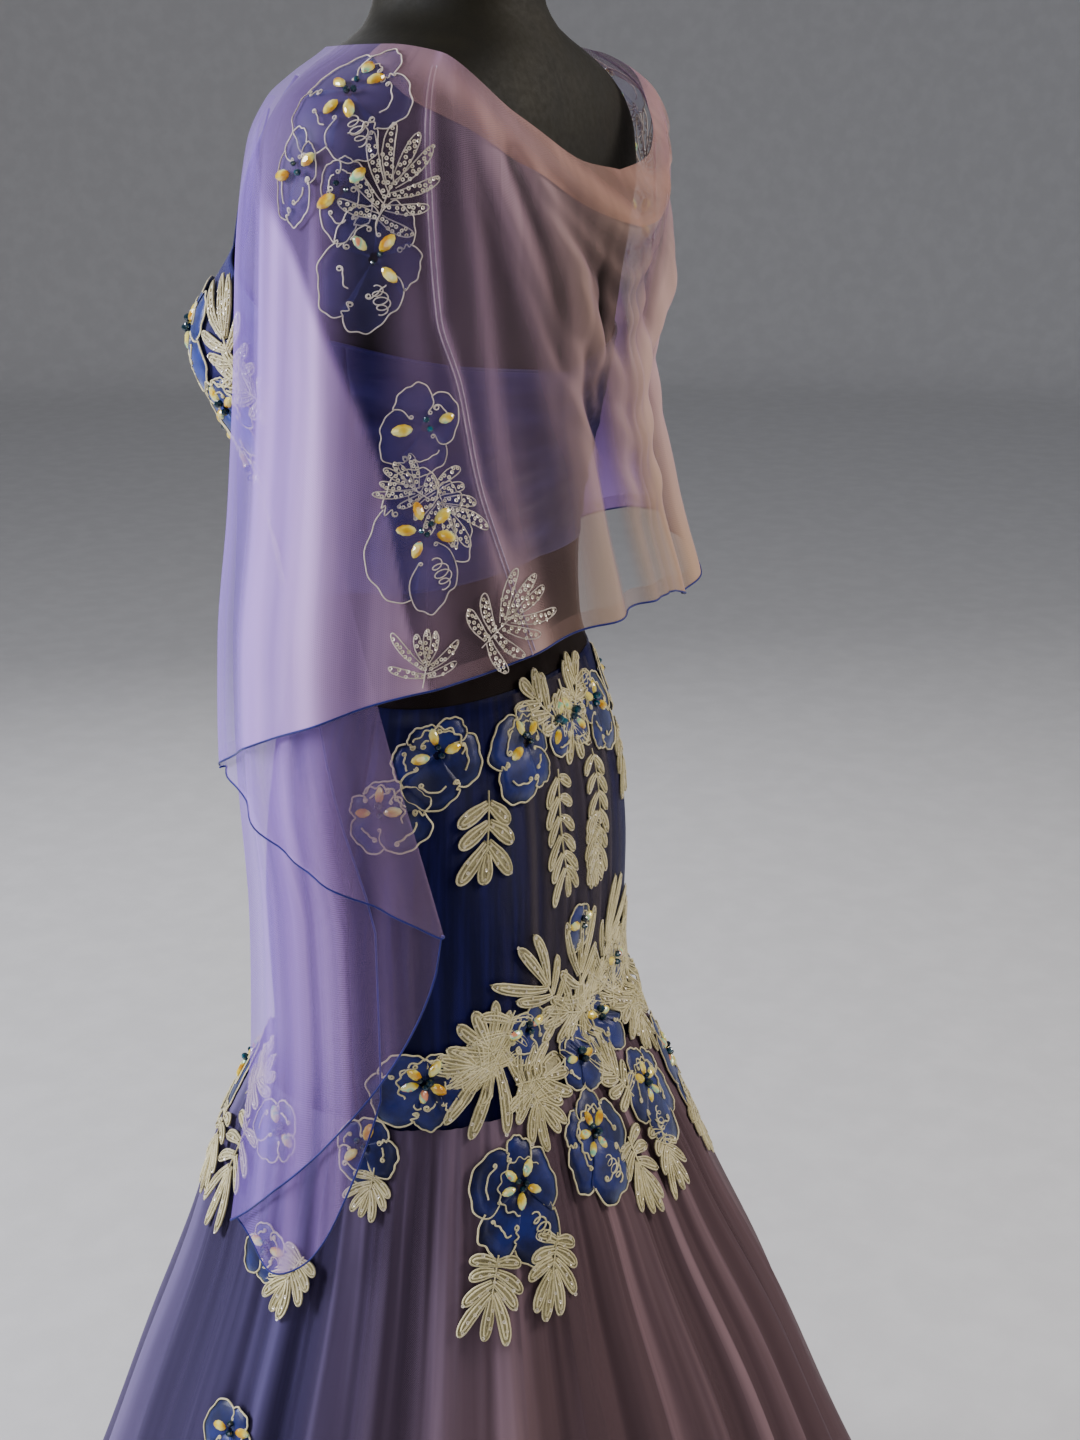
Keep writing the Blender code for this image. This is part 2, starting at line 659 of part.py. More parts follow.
def applique(motif, side, radius_at, lift):
    """A thick cut-out that follows the cloth under it, in two rings round its middle."""
    tilt = math.radians(motif.tilt)

    def surface(angle, z):
        return radius_at(angle if side > 0 else 180.0 - angle, z) + lift

    base = surface(motif.angle, motif.z)
    rim = outline(motif.kind)
    flat = [(0.0, 0.0), *((x * 0.5, y * 0.5) for x, y in rim), *rim]
    under, over = [], []
    for x, y in flat:
        across, up = x * motif.width, y * motif.height
        angle = motif.angle + math.degrees((across * math.cos(tilt) + up * math.sin(tilt)) / base)
        z = motif.z + up * math.cos(tilt) - across * math.sin(tilt)
        radius = surface(angle, z)
        for points, more in ((under, 0.0), (over, APPLIQUE)):
            point = polar(angle, radius + more, z)
            points.append(Vector((side * point.x, point.y, point.z)))
    count = len(rim)
    faces = []
    for base_index, flip in ((0, True), (len(flat), False)):
        for k in range(count):
            a, b = 1 + k, 1 + (k + 1) % count
            for face in ((0, a, b), (a, a + count, b + count), (a, b + count, b)):
                shifted = tuple(base_index + i for i in face)
                faces.append(shifted[::-1] if flip else shifted)
    for k in range(count):
        a, b = 1 + count + k, 1 + count + (k + 1) % count
        faces += [(a, b, b + len(flat)), (a, b + len(flat), a + len(flat))]
    finish = "blue_organza" if motif.kind == "flower" else "ivory_lace"
    ending = {1: "_left", -1: "_right"}[side] if motif.both else ""
    add_object(motif.name + ending, under + over, faces, finish)


def build_appliques():
    for motifs, radius_at, lift in ((MOTIFS, cover_radius, 0.0), (CAPE_MOTIFS, cape_radius, CAPE_LIFT)):
        for motif in motifs:
            for side in (1, -1) if motif.both else (1,):
                applique(motif, side, radius_at, lift)


def main():
    for item in list(bpy.data.objects):
        bpy.data.objects.remove(item)
    build_form()
    build_bodice()
    build_waist_mesh()
    build_skirt()
    build_cape()
    build_appliques()


main()
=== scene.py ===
"""Looks of the mermaid prom dress on its dress form: cloth, appliques, stones, studio and camera.

Metres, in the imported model's frame: the front faces -Y, the wearer's left is +X, +Z is up and the origin is
on the floor. Angles go round the dress from +X (0) through +Y, the back (90), as seen from above. The section
tables follow the part's source, so that the cloth lies on its solids; comments say where they differ.
"""

import logging
import math
from dataclasses import dataclass, field
from enum import Enum
from functools import cache
from typing import Callable, Iterator, NamedTuple, Optional, Sequence, Union

import bpy
import numpy as np
from mathutils import Matrix, Vector


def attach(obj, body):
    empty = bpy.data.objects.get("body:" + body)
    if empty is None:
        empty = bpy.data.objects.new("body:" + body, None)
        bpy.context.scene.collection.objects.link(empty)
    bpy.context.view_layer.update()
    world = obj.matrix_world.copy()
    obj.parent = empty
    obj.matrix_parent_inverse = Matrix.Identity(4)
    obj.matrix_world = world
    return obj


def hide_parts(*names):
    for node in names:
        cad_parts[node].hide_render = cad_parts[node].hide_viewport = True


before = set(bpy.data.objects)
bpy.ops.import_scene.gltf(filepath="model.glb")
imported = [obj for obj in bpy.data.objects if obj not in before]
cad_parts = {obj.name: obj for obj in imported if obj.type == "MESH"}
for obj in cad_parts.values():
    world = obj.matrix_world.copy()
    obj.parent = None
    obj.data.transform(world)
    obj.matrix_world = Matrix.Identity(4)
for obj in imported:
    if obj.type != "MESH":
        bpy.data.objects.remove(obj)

log = logging.getLogger("dress")

Colour = tuple[float, float, float]
Number = Union[float, np.ndarray]
RadiusAt = Callable[[Number, Number], np.ndarray]

# Walls and clearances, as in the part's source
SATIN = 0.0020
TULLE = 0.0012
EASE = 0.0015
NEST = 0.0008
HIP_LIFT = 0.0012
SKIRT_LIFT = 0.0008
CUP_LIFT = 0.0019
CAPE_LIFT = 0.0013

# Heights, angles and counts, as in the part's source
FORM_BOTTOM = 0.80
WAIST_SEAM = 1.034
FLOUNCE_TOP = 0.742
FLOUNCE_HEM = 0.008
LINING_HEM = 0.012
WAVES = 28
GORES = 7
BUST_HEIGHT = 1.262
BUST_ANGLE = 28.0
BUST_WIDTH = 25.0
FORM_BUST = 0.040
CUP_BUST = 0.051
CAPE_FRONT = -29.0
CAPE_SEAM = 38.0
FOLD_NOSE = 0.5
WAIST_MESH_START = -50.0
FLARE_START = 0.745

# The cups are spread over more of the bodice's height than in its solid, as in the photo
BUST_REACH = 0.074
# The distance from the axis at which a crease of the cape has its full width
CAPE_MEAN_RADIUS = 0.18
# How far above the gathered skirt's seam the appliques still lie over its crests
SEAM_COVER = 0.02
# The least share of its width times its length that a sheet's stated area has
LEAST_SHARE = 0.31

# How many columns of cloth a fold of the cascade has, and how many a layer
FOLD_COLUMNS = 8
LAYER_COLUMNS = 40

SATIN_PIECES = ("skirt_front_satin", "skirt_back_satin")
CLOTH_UV = "cloth"
# Each point's closeness of the net, which also sets how much highlight is painted on it
FOLD_AND_HIGHLIGHT_LAYER = "fold"
EDGE_LAYER = "edge"


class Section(NamedTuple):
    """One level of an outline: how far it reaches aside, to the front and to the back."""

    z: float
    half_width: float
    front: float
    back: float


class Edge(NamedTuple):
    """Where the border of a panel lies at one angle."""

    angle: float
    z: float


class Hang(NamedTuple):
    """How far the cape stands from the axis at one level, from its front edge round to the back."""

    z: float
    front: float
    side: float
    flank: float
    rear: float
    back: float


class Fold(NamedTuple):
    """Half the depth of the gathered skirt's folds at one level."""

    z: float
    depth: float


class Swag(NamedTuple):
    """A fold that swings across the back of the cape from shoulder to shoulder."""

    middle: float
    side: float
    width: float
    depth: float


class Crease(NamedTuple):
    """A soft ridge, or a trough where its depth is negative, that runs down a panel."""

    top_angle: float
    top_z: float
    low_angle: float
    low_z: float
    top_width: float
    low_width: float
    depth: float


class Layer(NamedTuple):
    """One layer of the cascade: where its end lies at the top and below, and how its hem runs."""

    end_top: float
    end_low: float
    hem_end: float
    bow: float
    dip: float


class Gap(NamedTuple):
    """How far the cascade's layers lie behind the cape's face at one level."""

    z: float
    first: float
    step: float


def table_of(kind: type, *values: tuple) -> tuple:
    """Makes a table of one kind of row, whose fields name its columns."""
    return tuple(kind(*row) for row in values)


BODY = table_of(
    Section,
    (0.800, 0.165, 0.126, 0.084), (0.870, 0.166, 0.129, 0.086), (0.920, 0.159, 0.130, 0.085),
    (0.970, 0.145, 0.128, 0.080), (1.020, 0.127, 0.123, 0.066), (1.060, 0.119, 0.121, 0.055),
    (1.100, 0.121, 0.122, 0.052), (1.150, 0.128, 0.124, 0.056), (1.200, 0.138, 0.124, 0.066),
    (1.255, 0.147, 0.124, 0.077), (1.300, 0.154, 0.122, 0.083), (1.340, 0.168, 0.116, 0.086),
    (1.375, 0.180, 0.106, 0.086), (1.400, 0.180, 0.097, 0.083), (1.420, 0.170, 0.089, 0.079),
    (1.436, 0.150, 0.082, 0.074), (1.448, 0.125, 0.076, 0.069), (1.458, 0.098, 0.070, 0.064),
    (1.468, 0.070, 0.064, 0.058), (1.485, 0.055, 0.059, 0.051), (1.510, 0.051, 0.057, 0.048),
    (1.560, 0.050, 0.056, 0.046),
)
SKIRT = table_of(
    Section,
    (0.008, 0.458, 0.448, 0.456), (0.200, 0.376, 0.368, 0.368), (0.370, 0.302, 0.297, 0.288),
    (0.500, 0.252, 0.250, 0.232), (0.600, 0.212, 0.212, 0.179), (0.640, 0.198, 0.200, 0.160),
    (0.680, 0.186, 0.185, 0.139), (0.720, 0.172, 0.163, 0.120), (FLARE_START, 0.166, 0.147, 0.108),
    (0.800, 0.168, 0.129, 0.087),
)
SKIRT_FOLDS = table_of(
    Fold,
    (0.008, 0.0170), (0.200, 0.0145), (0.370, 0.0115), (0.600, 0.0060), (0.680, 0.0030),
    (FLARE_START, 0.0010),
)
CAPE_ANGLES = (CAPE_FRONT, 5.0, 20.0, 45.0, 90.0)
# The front edge hangs a few millimetres closer than its solid from 1.17 to 1.34
CAPE_HANG = table_of(
    Hang,
    (0.620, 0.236, 0.234, 0.226, 0.190, 0.150), (0.700, 0.220, 0.221, 0.214, 0.184, 0.150),
    (0.800, 0.202, 0.214, 0.208, 0.182, 0.152), (0.900, 0.198, 0.217, 0.210, 0.182, 0.155),
    (1.000, 0.198, 0.232, 0.218, 0.184, 0.160), (1.080, 0.195, 0.230, 0.214, 0.176, 0.156),
    (1.170, 0.184, 0.214, 0.190, 0.150, 0.132), (1.250, 0.177, 0.202, 0.174, 0.130, 0.118),
    (1.340, 0.171, 0.195, 0.176, 0.136, 0.122), (1.400, 0.161, 0.192, 0.175, 0.131, 0.110),
    (1.427, 0.146, 0.178, 0.162, 0.120, 0.103), (1.442, 0.127, 0.1505, 0.141, 0.113, 0.100),
    (1.453, 0.1089, 0.1223, 0.1162, 0.106, 0.096), (1.462, 0.0960, 0.1040, 0.1000, 0.094, 0.088),
)
CAPE_NECKLINE = table_of(
    Edge,
    (-29.0, 1.4570), (5.0, 1.4590), (23.0, 1.4540), (44.0, 1.418), (68.0, 1.388), (90.0, 1.381),
)
CAPE_HEM = table_of(
    Edge,
    (-29.0, 0.992), (1.0, 1.046), (17.0, 1.070), (38.0, 1.084), (60.0, 1.100), (90.0, 1.104),
    (106.0, 1.094), (114.0, 1.100), (124.0, 1.124), (142.0, 1.126), (160.0, 1.118), (184.0, 1.100),
    (197.0, 1.044), (209.0, 0.992),
)
# How far the cape hangs closer on the wearer's right: most below one level and none above the other
TUCK = 0.020
TUCK_ANGLE = 145.0
TUCK_WIDTH = 30.0
TUCK_LOW = 1.13
TUCK_HIGH = 1.34
# The first two swags are in the part's source; the others are finer folds between them
SWAG_CURVE = 1.6
SWAG_END = 1.3
SWAGS = table_of(
    Swag,
    (1.345, 1.420, 0.016, 0.010), (1.245, 1.385, 0.020, 0.008), (1.312, 1.408, 0.008, 0.0045),
    (1.285, 1.396, 0.009, 0.0035), (1.205, 1.368, 0.014, 0.0050), (1.165, 1.345, 0.011, 0.0030),
)
# Creases, which are finer than the solid's form and so are made here alone
CAPE_CREASES = table_of(
    Crease,
    # Over the arm, behind the front edge
    (-25.0, 1.420, -26.0, 0.990, 0.005, 0.011, 0.0035), (-19.0, 1.410, -19.0, 1.010, 0.006, 0.012, -0.0030),
    (-12.0, 1.425, -11.0, 1.030, 0.005, 0.010, 0.0035), (-5.0, 1.380, -4.0, 1.040, 0.006, 0.013, -0.0025),
    (2.0, 1.400, 5.0, 1.050, 0.006, 0.012, 0.0030), (11.0, 1.430, 12.0, 1.060, 0.007, 0.014, -0.0030),
    (18.0, 1.360, 24.0, 1.070, 0.006, 0.011, 0.0025),
    # From the shoulder down towards the middle of the back
    (27.0, 1.440, 44.0, 1.095, 0.006, 0.013, 0.0040), (30.0, 1.446, 60.0, 1.200, 0.008, 0.016, 0.0045),
    (36.0, 1.432, 80.0, 1.236, 0.009, 0.015, 0.0060), (33.0, 1.440, 72.0, 1.215, 0.006, 0.010, -0.0035),
    (60.0, 1.345, 65.0, 1.100, 0.008, 0.015, 0.0080), (73.0, 1.338, 77.0, 1.100, 0.006, 0.010, -0.0060),
    (88.0, 1.335, 89.0, 1.100, 0.006, 0.009, 0.0050),
)
CREASE_FADE = 0.22
FULL_SWAG = 0.009
FULL_CREASE = 0.006
CASCADE_LEFT = table_of(
    Layer,
    (-10.0, 24.0, 0.905, 1.3, 0.0), (-28.0, -23.0, 0.660, 0.6, 0.0), (-14.0, 11.0, 0.780, 3.0, 0.030),
)
CASCADE_RIGHT = table_of(
    Layer,
    (-14.0, -5.0, 0.905, 1.1, 0.0), (-28.0, -24.0, 0.660, 0.7, 0.0), (-18.0, -10.0, 0.780, 2.4, 0.020),
)
CASCADE_TOP = 1.335
CASCADE_POINT = 1.428
CASCADE_LOW = 0.905
CASCADE_START_HEM = 0.990
LAYER_GAPS = table_of(
    Gap,
    (0.620, 0.0050, 0.0050), (1.100, 0.0050, 0.0050), (1.220, 0.0026, 0.0021),
    (CASCADE_TOP, 0.0024, 0.0019),
)
BODICE_TOP = table_of(
    Edge,
    (-90.0, 1.272), (-76.0, 1.310), (-62.0, 1.338), (-42.0, 1.318), (-18.0, 1.284), (0.0, 1.278),
    (30.0, 1.262), (90.0, 1.246),
)
BODICE_BOTTOM = table_of(
    Edge,
    (-90.0, WAIST_SEAM), (-60.0, WAIST_SEAM), (-40.0, 1.072), (-20.0, 1.104), (0.0, 1.112), (90.0, 1.118),
)


def smooth(knots: Sequence[float], values: Sequence[float] | np.ndarray, x: Number) -> np.ndarray:
    """Reads a curve through the knots that never overshoots them.

    Args:
        knots: Where the curve is given, rising.
        values: The curve's values there, on the last axis.
        x: Where it is read.

    Returns:
        The curve's value at each x.
    """
    knots = np.asarray(knots, float)
    x = np.clip(np.asarray(x, float), knots[0], knots[-1])
    values = np.broadcast_to(np.asarray(values, float), x.shape + (len(knots),))
    spot = np.clip(np.searchsorted(knots, x) - 1, 0, len(knots) - 2)
    widths = np.diff(knots)
    secants = np.diff(values, axis=-1) / widths
    before, after = secants[..., :-1], secants[..., 1:]
    product = before * after
    rising = product > 0
    inner = np.where(rising, 2 * product / np.where(rising, before + after, 1.0), 0.0)
    slopes = np.concatenate([secants[..., :1], inner, secants[..., -1:]], axis=-1)

    def pick(table: np.ndarray, at: np.ndarray) -> np.ndarray:
        """Takes the entry of each point's own table."""
        return np.take_along_axis(table, at[..., None], axis=-1)[..., 0]

    width = widths[spot]
    t = (x - knots[spot]) / width
    return (
        pick(values, spot) * (1 + 2 * t) * (1 - t) ** 2
        + pick(values, spot + 1) * t * t * (3 - 2 * t)
        + pick(slopes, spot) * width * t * (1 - t) ** 2
        - pick(slopes, spot + 1) * width * t * t * (1 - t)
    )


def read(table: Sequence[tuple], column: str, x: Number) -> np.ndarray:
    """Reads one named column of a table, whose first column is the key."""
    return smooth([row[0] for row in table], [getattr(row, column) for row in table], x)


def step_up(low: float, high: float, x: Number) -> np.ndarray:
    """Rises softly from 0 at low to 1 at high."""
    t = np.clip((np.asarray(x, float) - low) / (high - low), 0.0, 1.0)
    return t * t * (3 - 2 * t)


def bell(x: Number) -> np.ndarray:
    """A soft bump, 1 at 0."""
    return np.exp(-np.square(x))


def folded(angle: Number) -> np.ndarray:
    """The angle on the wearer's left that mirrors this one, from -90 at the front to 90 at the back."""
    return np.degrees(np.arcsin(np.clip(np.sin(np.radians(angle)), -1.0, 1.0)))


def polar(angle: Number, radius: Number, z: Number) -> np.ndarray:
    """Points at these angles, distances from the axis and heights."""
    turn = np.radians(angle)
    return np.stack(np.broadcast_arrays(radius * np.cos(turn), radius * np.sin(turn), z), axis=-1)


@dataclass(frozen=True)
class Outline:
    """Rounded sections stacked up the dress, deeper on one side than on the other."""

    sections: tuple[Section, ...]
    squareness: float = 2.3

    def radius(self, angle: Number, z: Number) -> np.ndarray:
        """Distance from the axis at an angle and height.

        Args:
            angle: Angles round the dress, in degrees.
            z: Heights, in metres.

        Returns:
            The radius at each place.
        """
        turn = np.radians(angle)
        half_width, front, back = (read(self.sections, name, z) for name in Section._fields[1:])
        depth = np.where(np.sin(turn) > 0, back, front)
        power = self.squareness
        across = np.abs(np.cos(turn) / half_width) ** power
        along = np.abs(np.sin(turn) / depth) ** power
        return (across + along) ** (-1 / power)


FIGURE = Outline(BODY)
FLARE = Outline(SKIRT)


def body_radius(angle: Number, z: Number, bust: float) -> np.ndarray:
    """The figure that the dress is cut for, with two cups of that depth."""
    aside = (folded(angle) + 90.0 - BUST_ANGLE) / BUST_WIDTH
    return FIGURE.radius(angle, z) + bust * bell(aside) * bell((z - BUST_HEIGHT) / BUST_REACH)


def bodice_radius(angle: Number, z: Number) -> np.ndarray:
    """Outer face of the bodice."""
    return body_radius(angle, z, CUP_BUST) + EASE + SATIN


def fold_depth(z: Number) -> np.ndarray:
    """Half the depth of the gathered skirt's folds."""
    return read(SKIRT_FOLDS, "depth", z)


def unevenness(angle: Number) -> np.ndarray:
    """How full the skirt's folds are round the dress."""
    return 0.78 + 0.22 * np.sin(5 * np.radians(angle) + 1.0)


def wave(angle: Number) -> np.ndarray:
    """The skirt's folds round the dress, from -1 in a valley to 1 on a crest."""
    turn = np.radians(angle)
    return np.cos(WAVES * turn + 0.7 * np.sin(3 * turn) + 0.4 * np.sin(7 * turn))


def ripple(turn: Number, count: int, sway: float, period: int, shift: Number = 0.0) -> np.ndarray:
    """So many waves round the dress, which bunch and spread a few times in one round."""
    return np.sin(count * turn + sway * np.sin(period * turn) + shift)


def flounce_radius(angle: Number, z: Number) -> np.ndarray:
    """The gathered tulle."""
    return FLARE.radius(angle, z) - fold_depth(z) * (1 - unevenness(angle) * wave(angle))


def crest_radius(angle: Number, z: Number) -> np.ndarray:
    """The crests of the gathered tulle."""
    return FLARE.radius(angle, z) - fold_depth(z) * (1 - unevenness(angle))


def satin_radius(angle: Number, z: Number) -> np.ndarray:
    """Outer face of the satin skirt, inside the gathered one below its seam.

    Args:
        angle: Angles round the dress, in degrees.
        z: Heights, in metres.

    Returns:
        Its radius at each place.
    """
    angle, z = np.broadcast_arrays(np.asarray(angle, float), np.asarray(z, float))
    hips = body_radius(angle, np.maximum(z, FORM_BOTTOM), 0.0) + EASE + SATIN
    inside = FLARE.radius(angle, z) - 2 * fold_depth(z) - TULLE - NEST
    blend = np.clip((FORM_BOTTOM - z) / (FORM_BOTTOM - FLARE_START), 0.0, 1.0)
    waves = 0.6 * fold_depth(z) * (1 - np.cos(np.radians(10 * angle))) * np.maximum(0.0, blend * 3 - 2)
    return hips * (1 - blend) + inside * blend - waves


def cover_radius(angle: Number, z: Number) -> np.ndarray:
    """What the dress's appliques lie on: the bodice, the satin, or the crests of the gathered skirt.

    Args:
        angle: Angles round the dress, in degrees.
        z: Heights, in metres.

    Returns:
        Its radius at each place.
    """
    z = np.asarray(z, float)
    gathered = crest_radius(angle, z) + SKIRT_LIFT
    plain = satin_radius(angle, z) + HIP_LIFT
    seam = np.where(z < FLOUNCE_TOP + SEAM_COVER, np.maximum(plain, gathered), plain)
    skirt = np.where(z < FLOUNCE_TOP, gathered, seam)
    return np.where(z > WAIST_SEAM, bodice_radius(angle, z) + CUP_LIFT, skirt)


def crease_height(crease: Crease, angle: np.ndarray, z: np.ndarray, radius: np.ndarray) -> np.ndarray:
    """How far a crease lifts the cloth, at most.

    Args:
        crease: The crease.
        angle: Angles, folded to the wearer's left.
        z: Heights.
        radius: How far the cloth stands from the axis there.

    Returns:
        The lift at each point, in metres.
    """
    fall = (crease.top_z - z) / (crease.top_z - crease.low_z)
    t = np.clip(fall, 0.0, 1.0)
    middle = crease.top_angle + (crease.low_angle - crease.top_angle) * t
    width = crease.top_width + (crease.low_width - crease.top_width) * t
    aside = np.radians(angle - middle) * radius / width
    return crease.depth * bell(aside) * step_up(-0.02, CREASE_FADE, fall)


def swag_height(swag: Swag, angle: np.ndarray, z: np.ndarray) -> np.ndarray:
    """How far a swag lifts the cape, at angles folded to the wearer's left.

    Args:
        swag: The swag.
        angle: Angles, folded to the wearer's left.
        z: Heights, in metres.

    Returns:
        The lift at each place, in metres.
    """
    share = np.clip((90.0 - angle) / (90.0 - CAPE_SEAM), 0.0, SWAG_END)
    height = swag.middle + (swag.side - swag.middle) * share**SWAG_CURVE
    fade = np.maximum(0.0, 1 - (share / SWAG_END) ** 4)
    return swag.depth * fade * bell((z - height) / swag.width)


def cape_radius(angle: Number, z: Number) -> np.ndarray:
    """The hanging surface of the cape, with its swags and creases.

    Args:
        angle: Angles round the dress, in degrees.
        z: Heights, in metres.

    Returns:
        Its radius at each place.
    """
    whole, z = np.broadcast_arrays(np.asarray(angle, float), np.asarray(z, float))
    angle = folded(whole)
    across = np.stack([read(CAPE_HANG, name, z) for name in Hang._fields[1:]], axis=-1)
    radius = smooth(CAPE_ANGLES, across, angle)
    for swag in SWAGS:
        radius = radius + swag_height(swag, angle, z)
    for crease in CAPE_CREASES:
        radius = radius + crease_height(crease, angle, z, radius)
    sag = np.clip((TUCK_HIGH - z) / (TUCK_HIGH - TUCK_LOW), 0.0, 1.0)
    return radius - TUCK * sag * bell((whole - TUCK_ANGLE) / TUCK_WIDTH)


def cape_folds(angle: Number, z: Number) -> np.ndarray:
    """Where the cape's net lies closer and is painted lighter: 1 on a ridge, below 0 in a trough.

    Args:
        angle: Angles round the dress, in degrees.
        z: Heights, in metres.

    Returns:
        A value for each place.
    """
    angle, z = np.broadcast_arrays(folded(angle), np.asarray(z, float))
    found = np.zeros(z.shape)
    for swag in SWAGS:
        found = found + swag_height(swag, angle, z) / FULL_SWAG
    for crease in CAPE_CREASES:
        found = found + crease_height(crease, angle, z, np.full(z.shape, CAPE_MEAN_RADIUS)) / FULL_CREASE
    return np.clip(found, -0.6, 1.2)


# Shader and geometry trees


class Canvas:
    """Adds and links the nodes of one tree."""

    def __init__(self, tree: bpy.types.NodeTree) -> None:
        """Works in this tree."""
        self.tree = tree

    def feed(self, socket: bpy.types.NodeSocket, value: object) -> None:
        """Links a socket or a signal to an input, or sets the input's own value.

        Args:
            socket: The input.
            value: A socket, a signal, or a plain value.
        """
        source = getattr(value, "socket", value)
        if isinstance(source, bpy.types.NodeSocket):
            self.tree.links.new(source, socket)
        else:
            socket.default_value = source

    def node(
        self, kind: str, settings: Optional[dict] = None, inputs: Optional[dict] = None
    ) -> bpy.types.Node:
        """Adds a node.

        Args:
            kind: The node's type.
            settings: Its properties, or a ramp's stops, which are set first.
            inputs: The values or links of its sockets, by name or place.

        Returns:
            The node.
        """
        made = self.tree.nodes.new(kind)
        for name, value in (settings or {}).items():
            if name == "stops":
                self._set_stops(made.color_ramp, value)
            else:
                setattr(made, name, value)
        for name, value in (inputs or {}).items():
            self.feed(made.inputs[name], value)
        return made

    @staticmethod
    def _set_stops(ramp: bpy.types.ColorRamp, stops: Sequence[tuple[float, Colour]]) -> None:
        """Gives a ramp these stops and no others.

        Args:
            ramp: The ramp.
            stops: Each stop's position and colour.
        """
        while len(ramp.elements) > 1:
            ramp.elements.remove(ramp.elements[-1])
        for place, (position, colour) in enumerate(stops):
            element = ramp.elements[0] if place == 0 else ramp.elements.new(position)
            element.position = position
            element.color = (*colour, 1.0)


class Signal:
    """A number in a shader: arithmetic on it adds Math nodes."""

    def __init__(self, canvas: Canvas, socket: bpy.types.NodeSocket) -> None:
        """Wraps one socket."""
        self.canvas = canvas
        self.socket = socket

    def _join(self, operation: str, *terms: Union["Signal", float]) -> "Signal":
        """Adds a Math node on these terms."""
        made = self.canvas.node("ShaderNodeMath", {"operation": operation}, dict(enumerate(terms)))
        return Signal(self.canvas, made.outputs[0])

    def __add__(self, other: Union["Signal", float]) -> "Signal":
        """Adds."""
        return self._join("ADD", self, other)

    def __radd__(self, other: float) -> "Signal":
        """Adds."""
        return self._join("ADD", other, self)

    def __sub__(self, other: Union["Signal", float]) -> "Signal":
        """Takes away."""
        return self._join("SUBTRACT", self, other)

    def __rsub__(self, other: float) -> "Signal":
        """Takes this from a number."""
        return self._join("SUBTRACT", other, self)

    def __mul__(self, other: Union["Signal", float]) -> "Signal":
        """Multiplies."""
        return self._join("MULTIPLY", self, other)

    def __rmul__(self, other: float) -> "Signal":
        """Multiplies."""
        return self._join("MULTIPLY", other, self)

    def clamped(self) -> "Signal":
        """Keeps the value from 0 to 1."""
        made = self.canvas.node("ShaderNodeClamp", None, {0: self})
        return Signal(self.canvas, made.outputs[0])

    def cosine(self) -> "Signal":
        """The cosine of the value, in radians."""
        return self._join("COSINE", self)

    def sine(self) -> "Signal":
        """The sine of the value, in radians."""
        return self._join("SINE", self)

    def between(self, low: float, high: float) -> "Signal":
        """Rises softly from 0 at low to 1 at high.

        Args:
            low: The value that gives 0.
            high: The value that gives 1.

        Returns:
            The new signal.
        """
        made = self.canvas.node(
            "ShaderNodeMapRange", {"interpolation_type": "SMOOTHSTEP"}, {0: self, 1: low, 2: high}
        )
        return Signal(self.canvas, made.outputs[0])


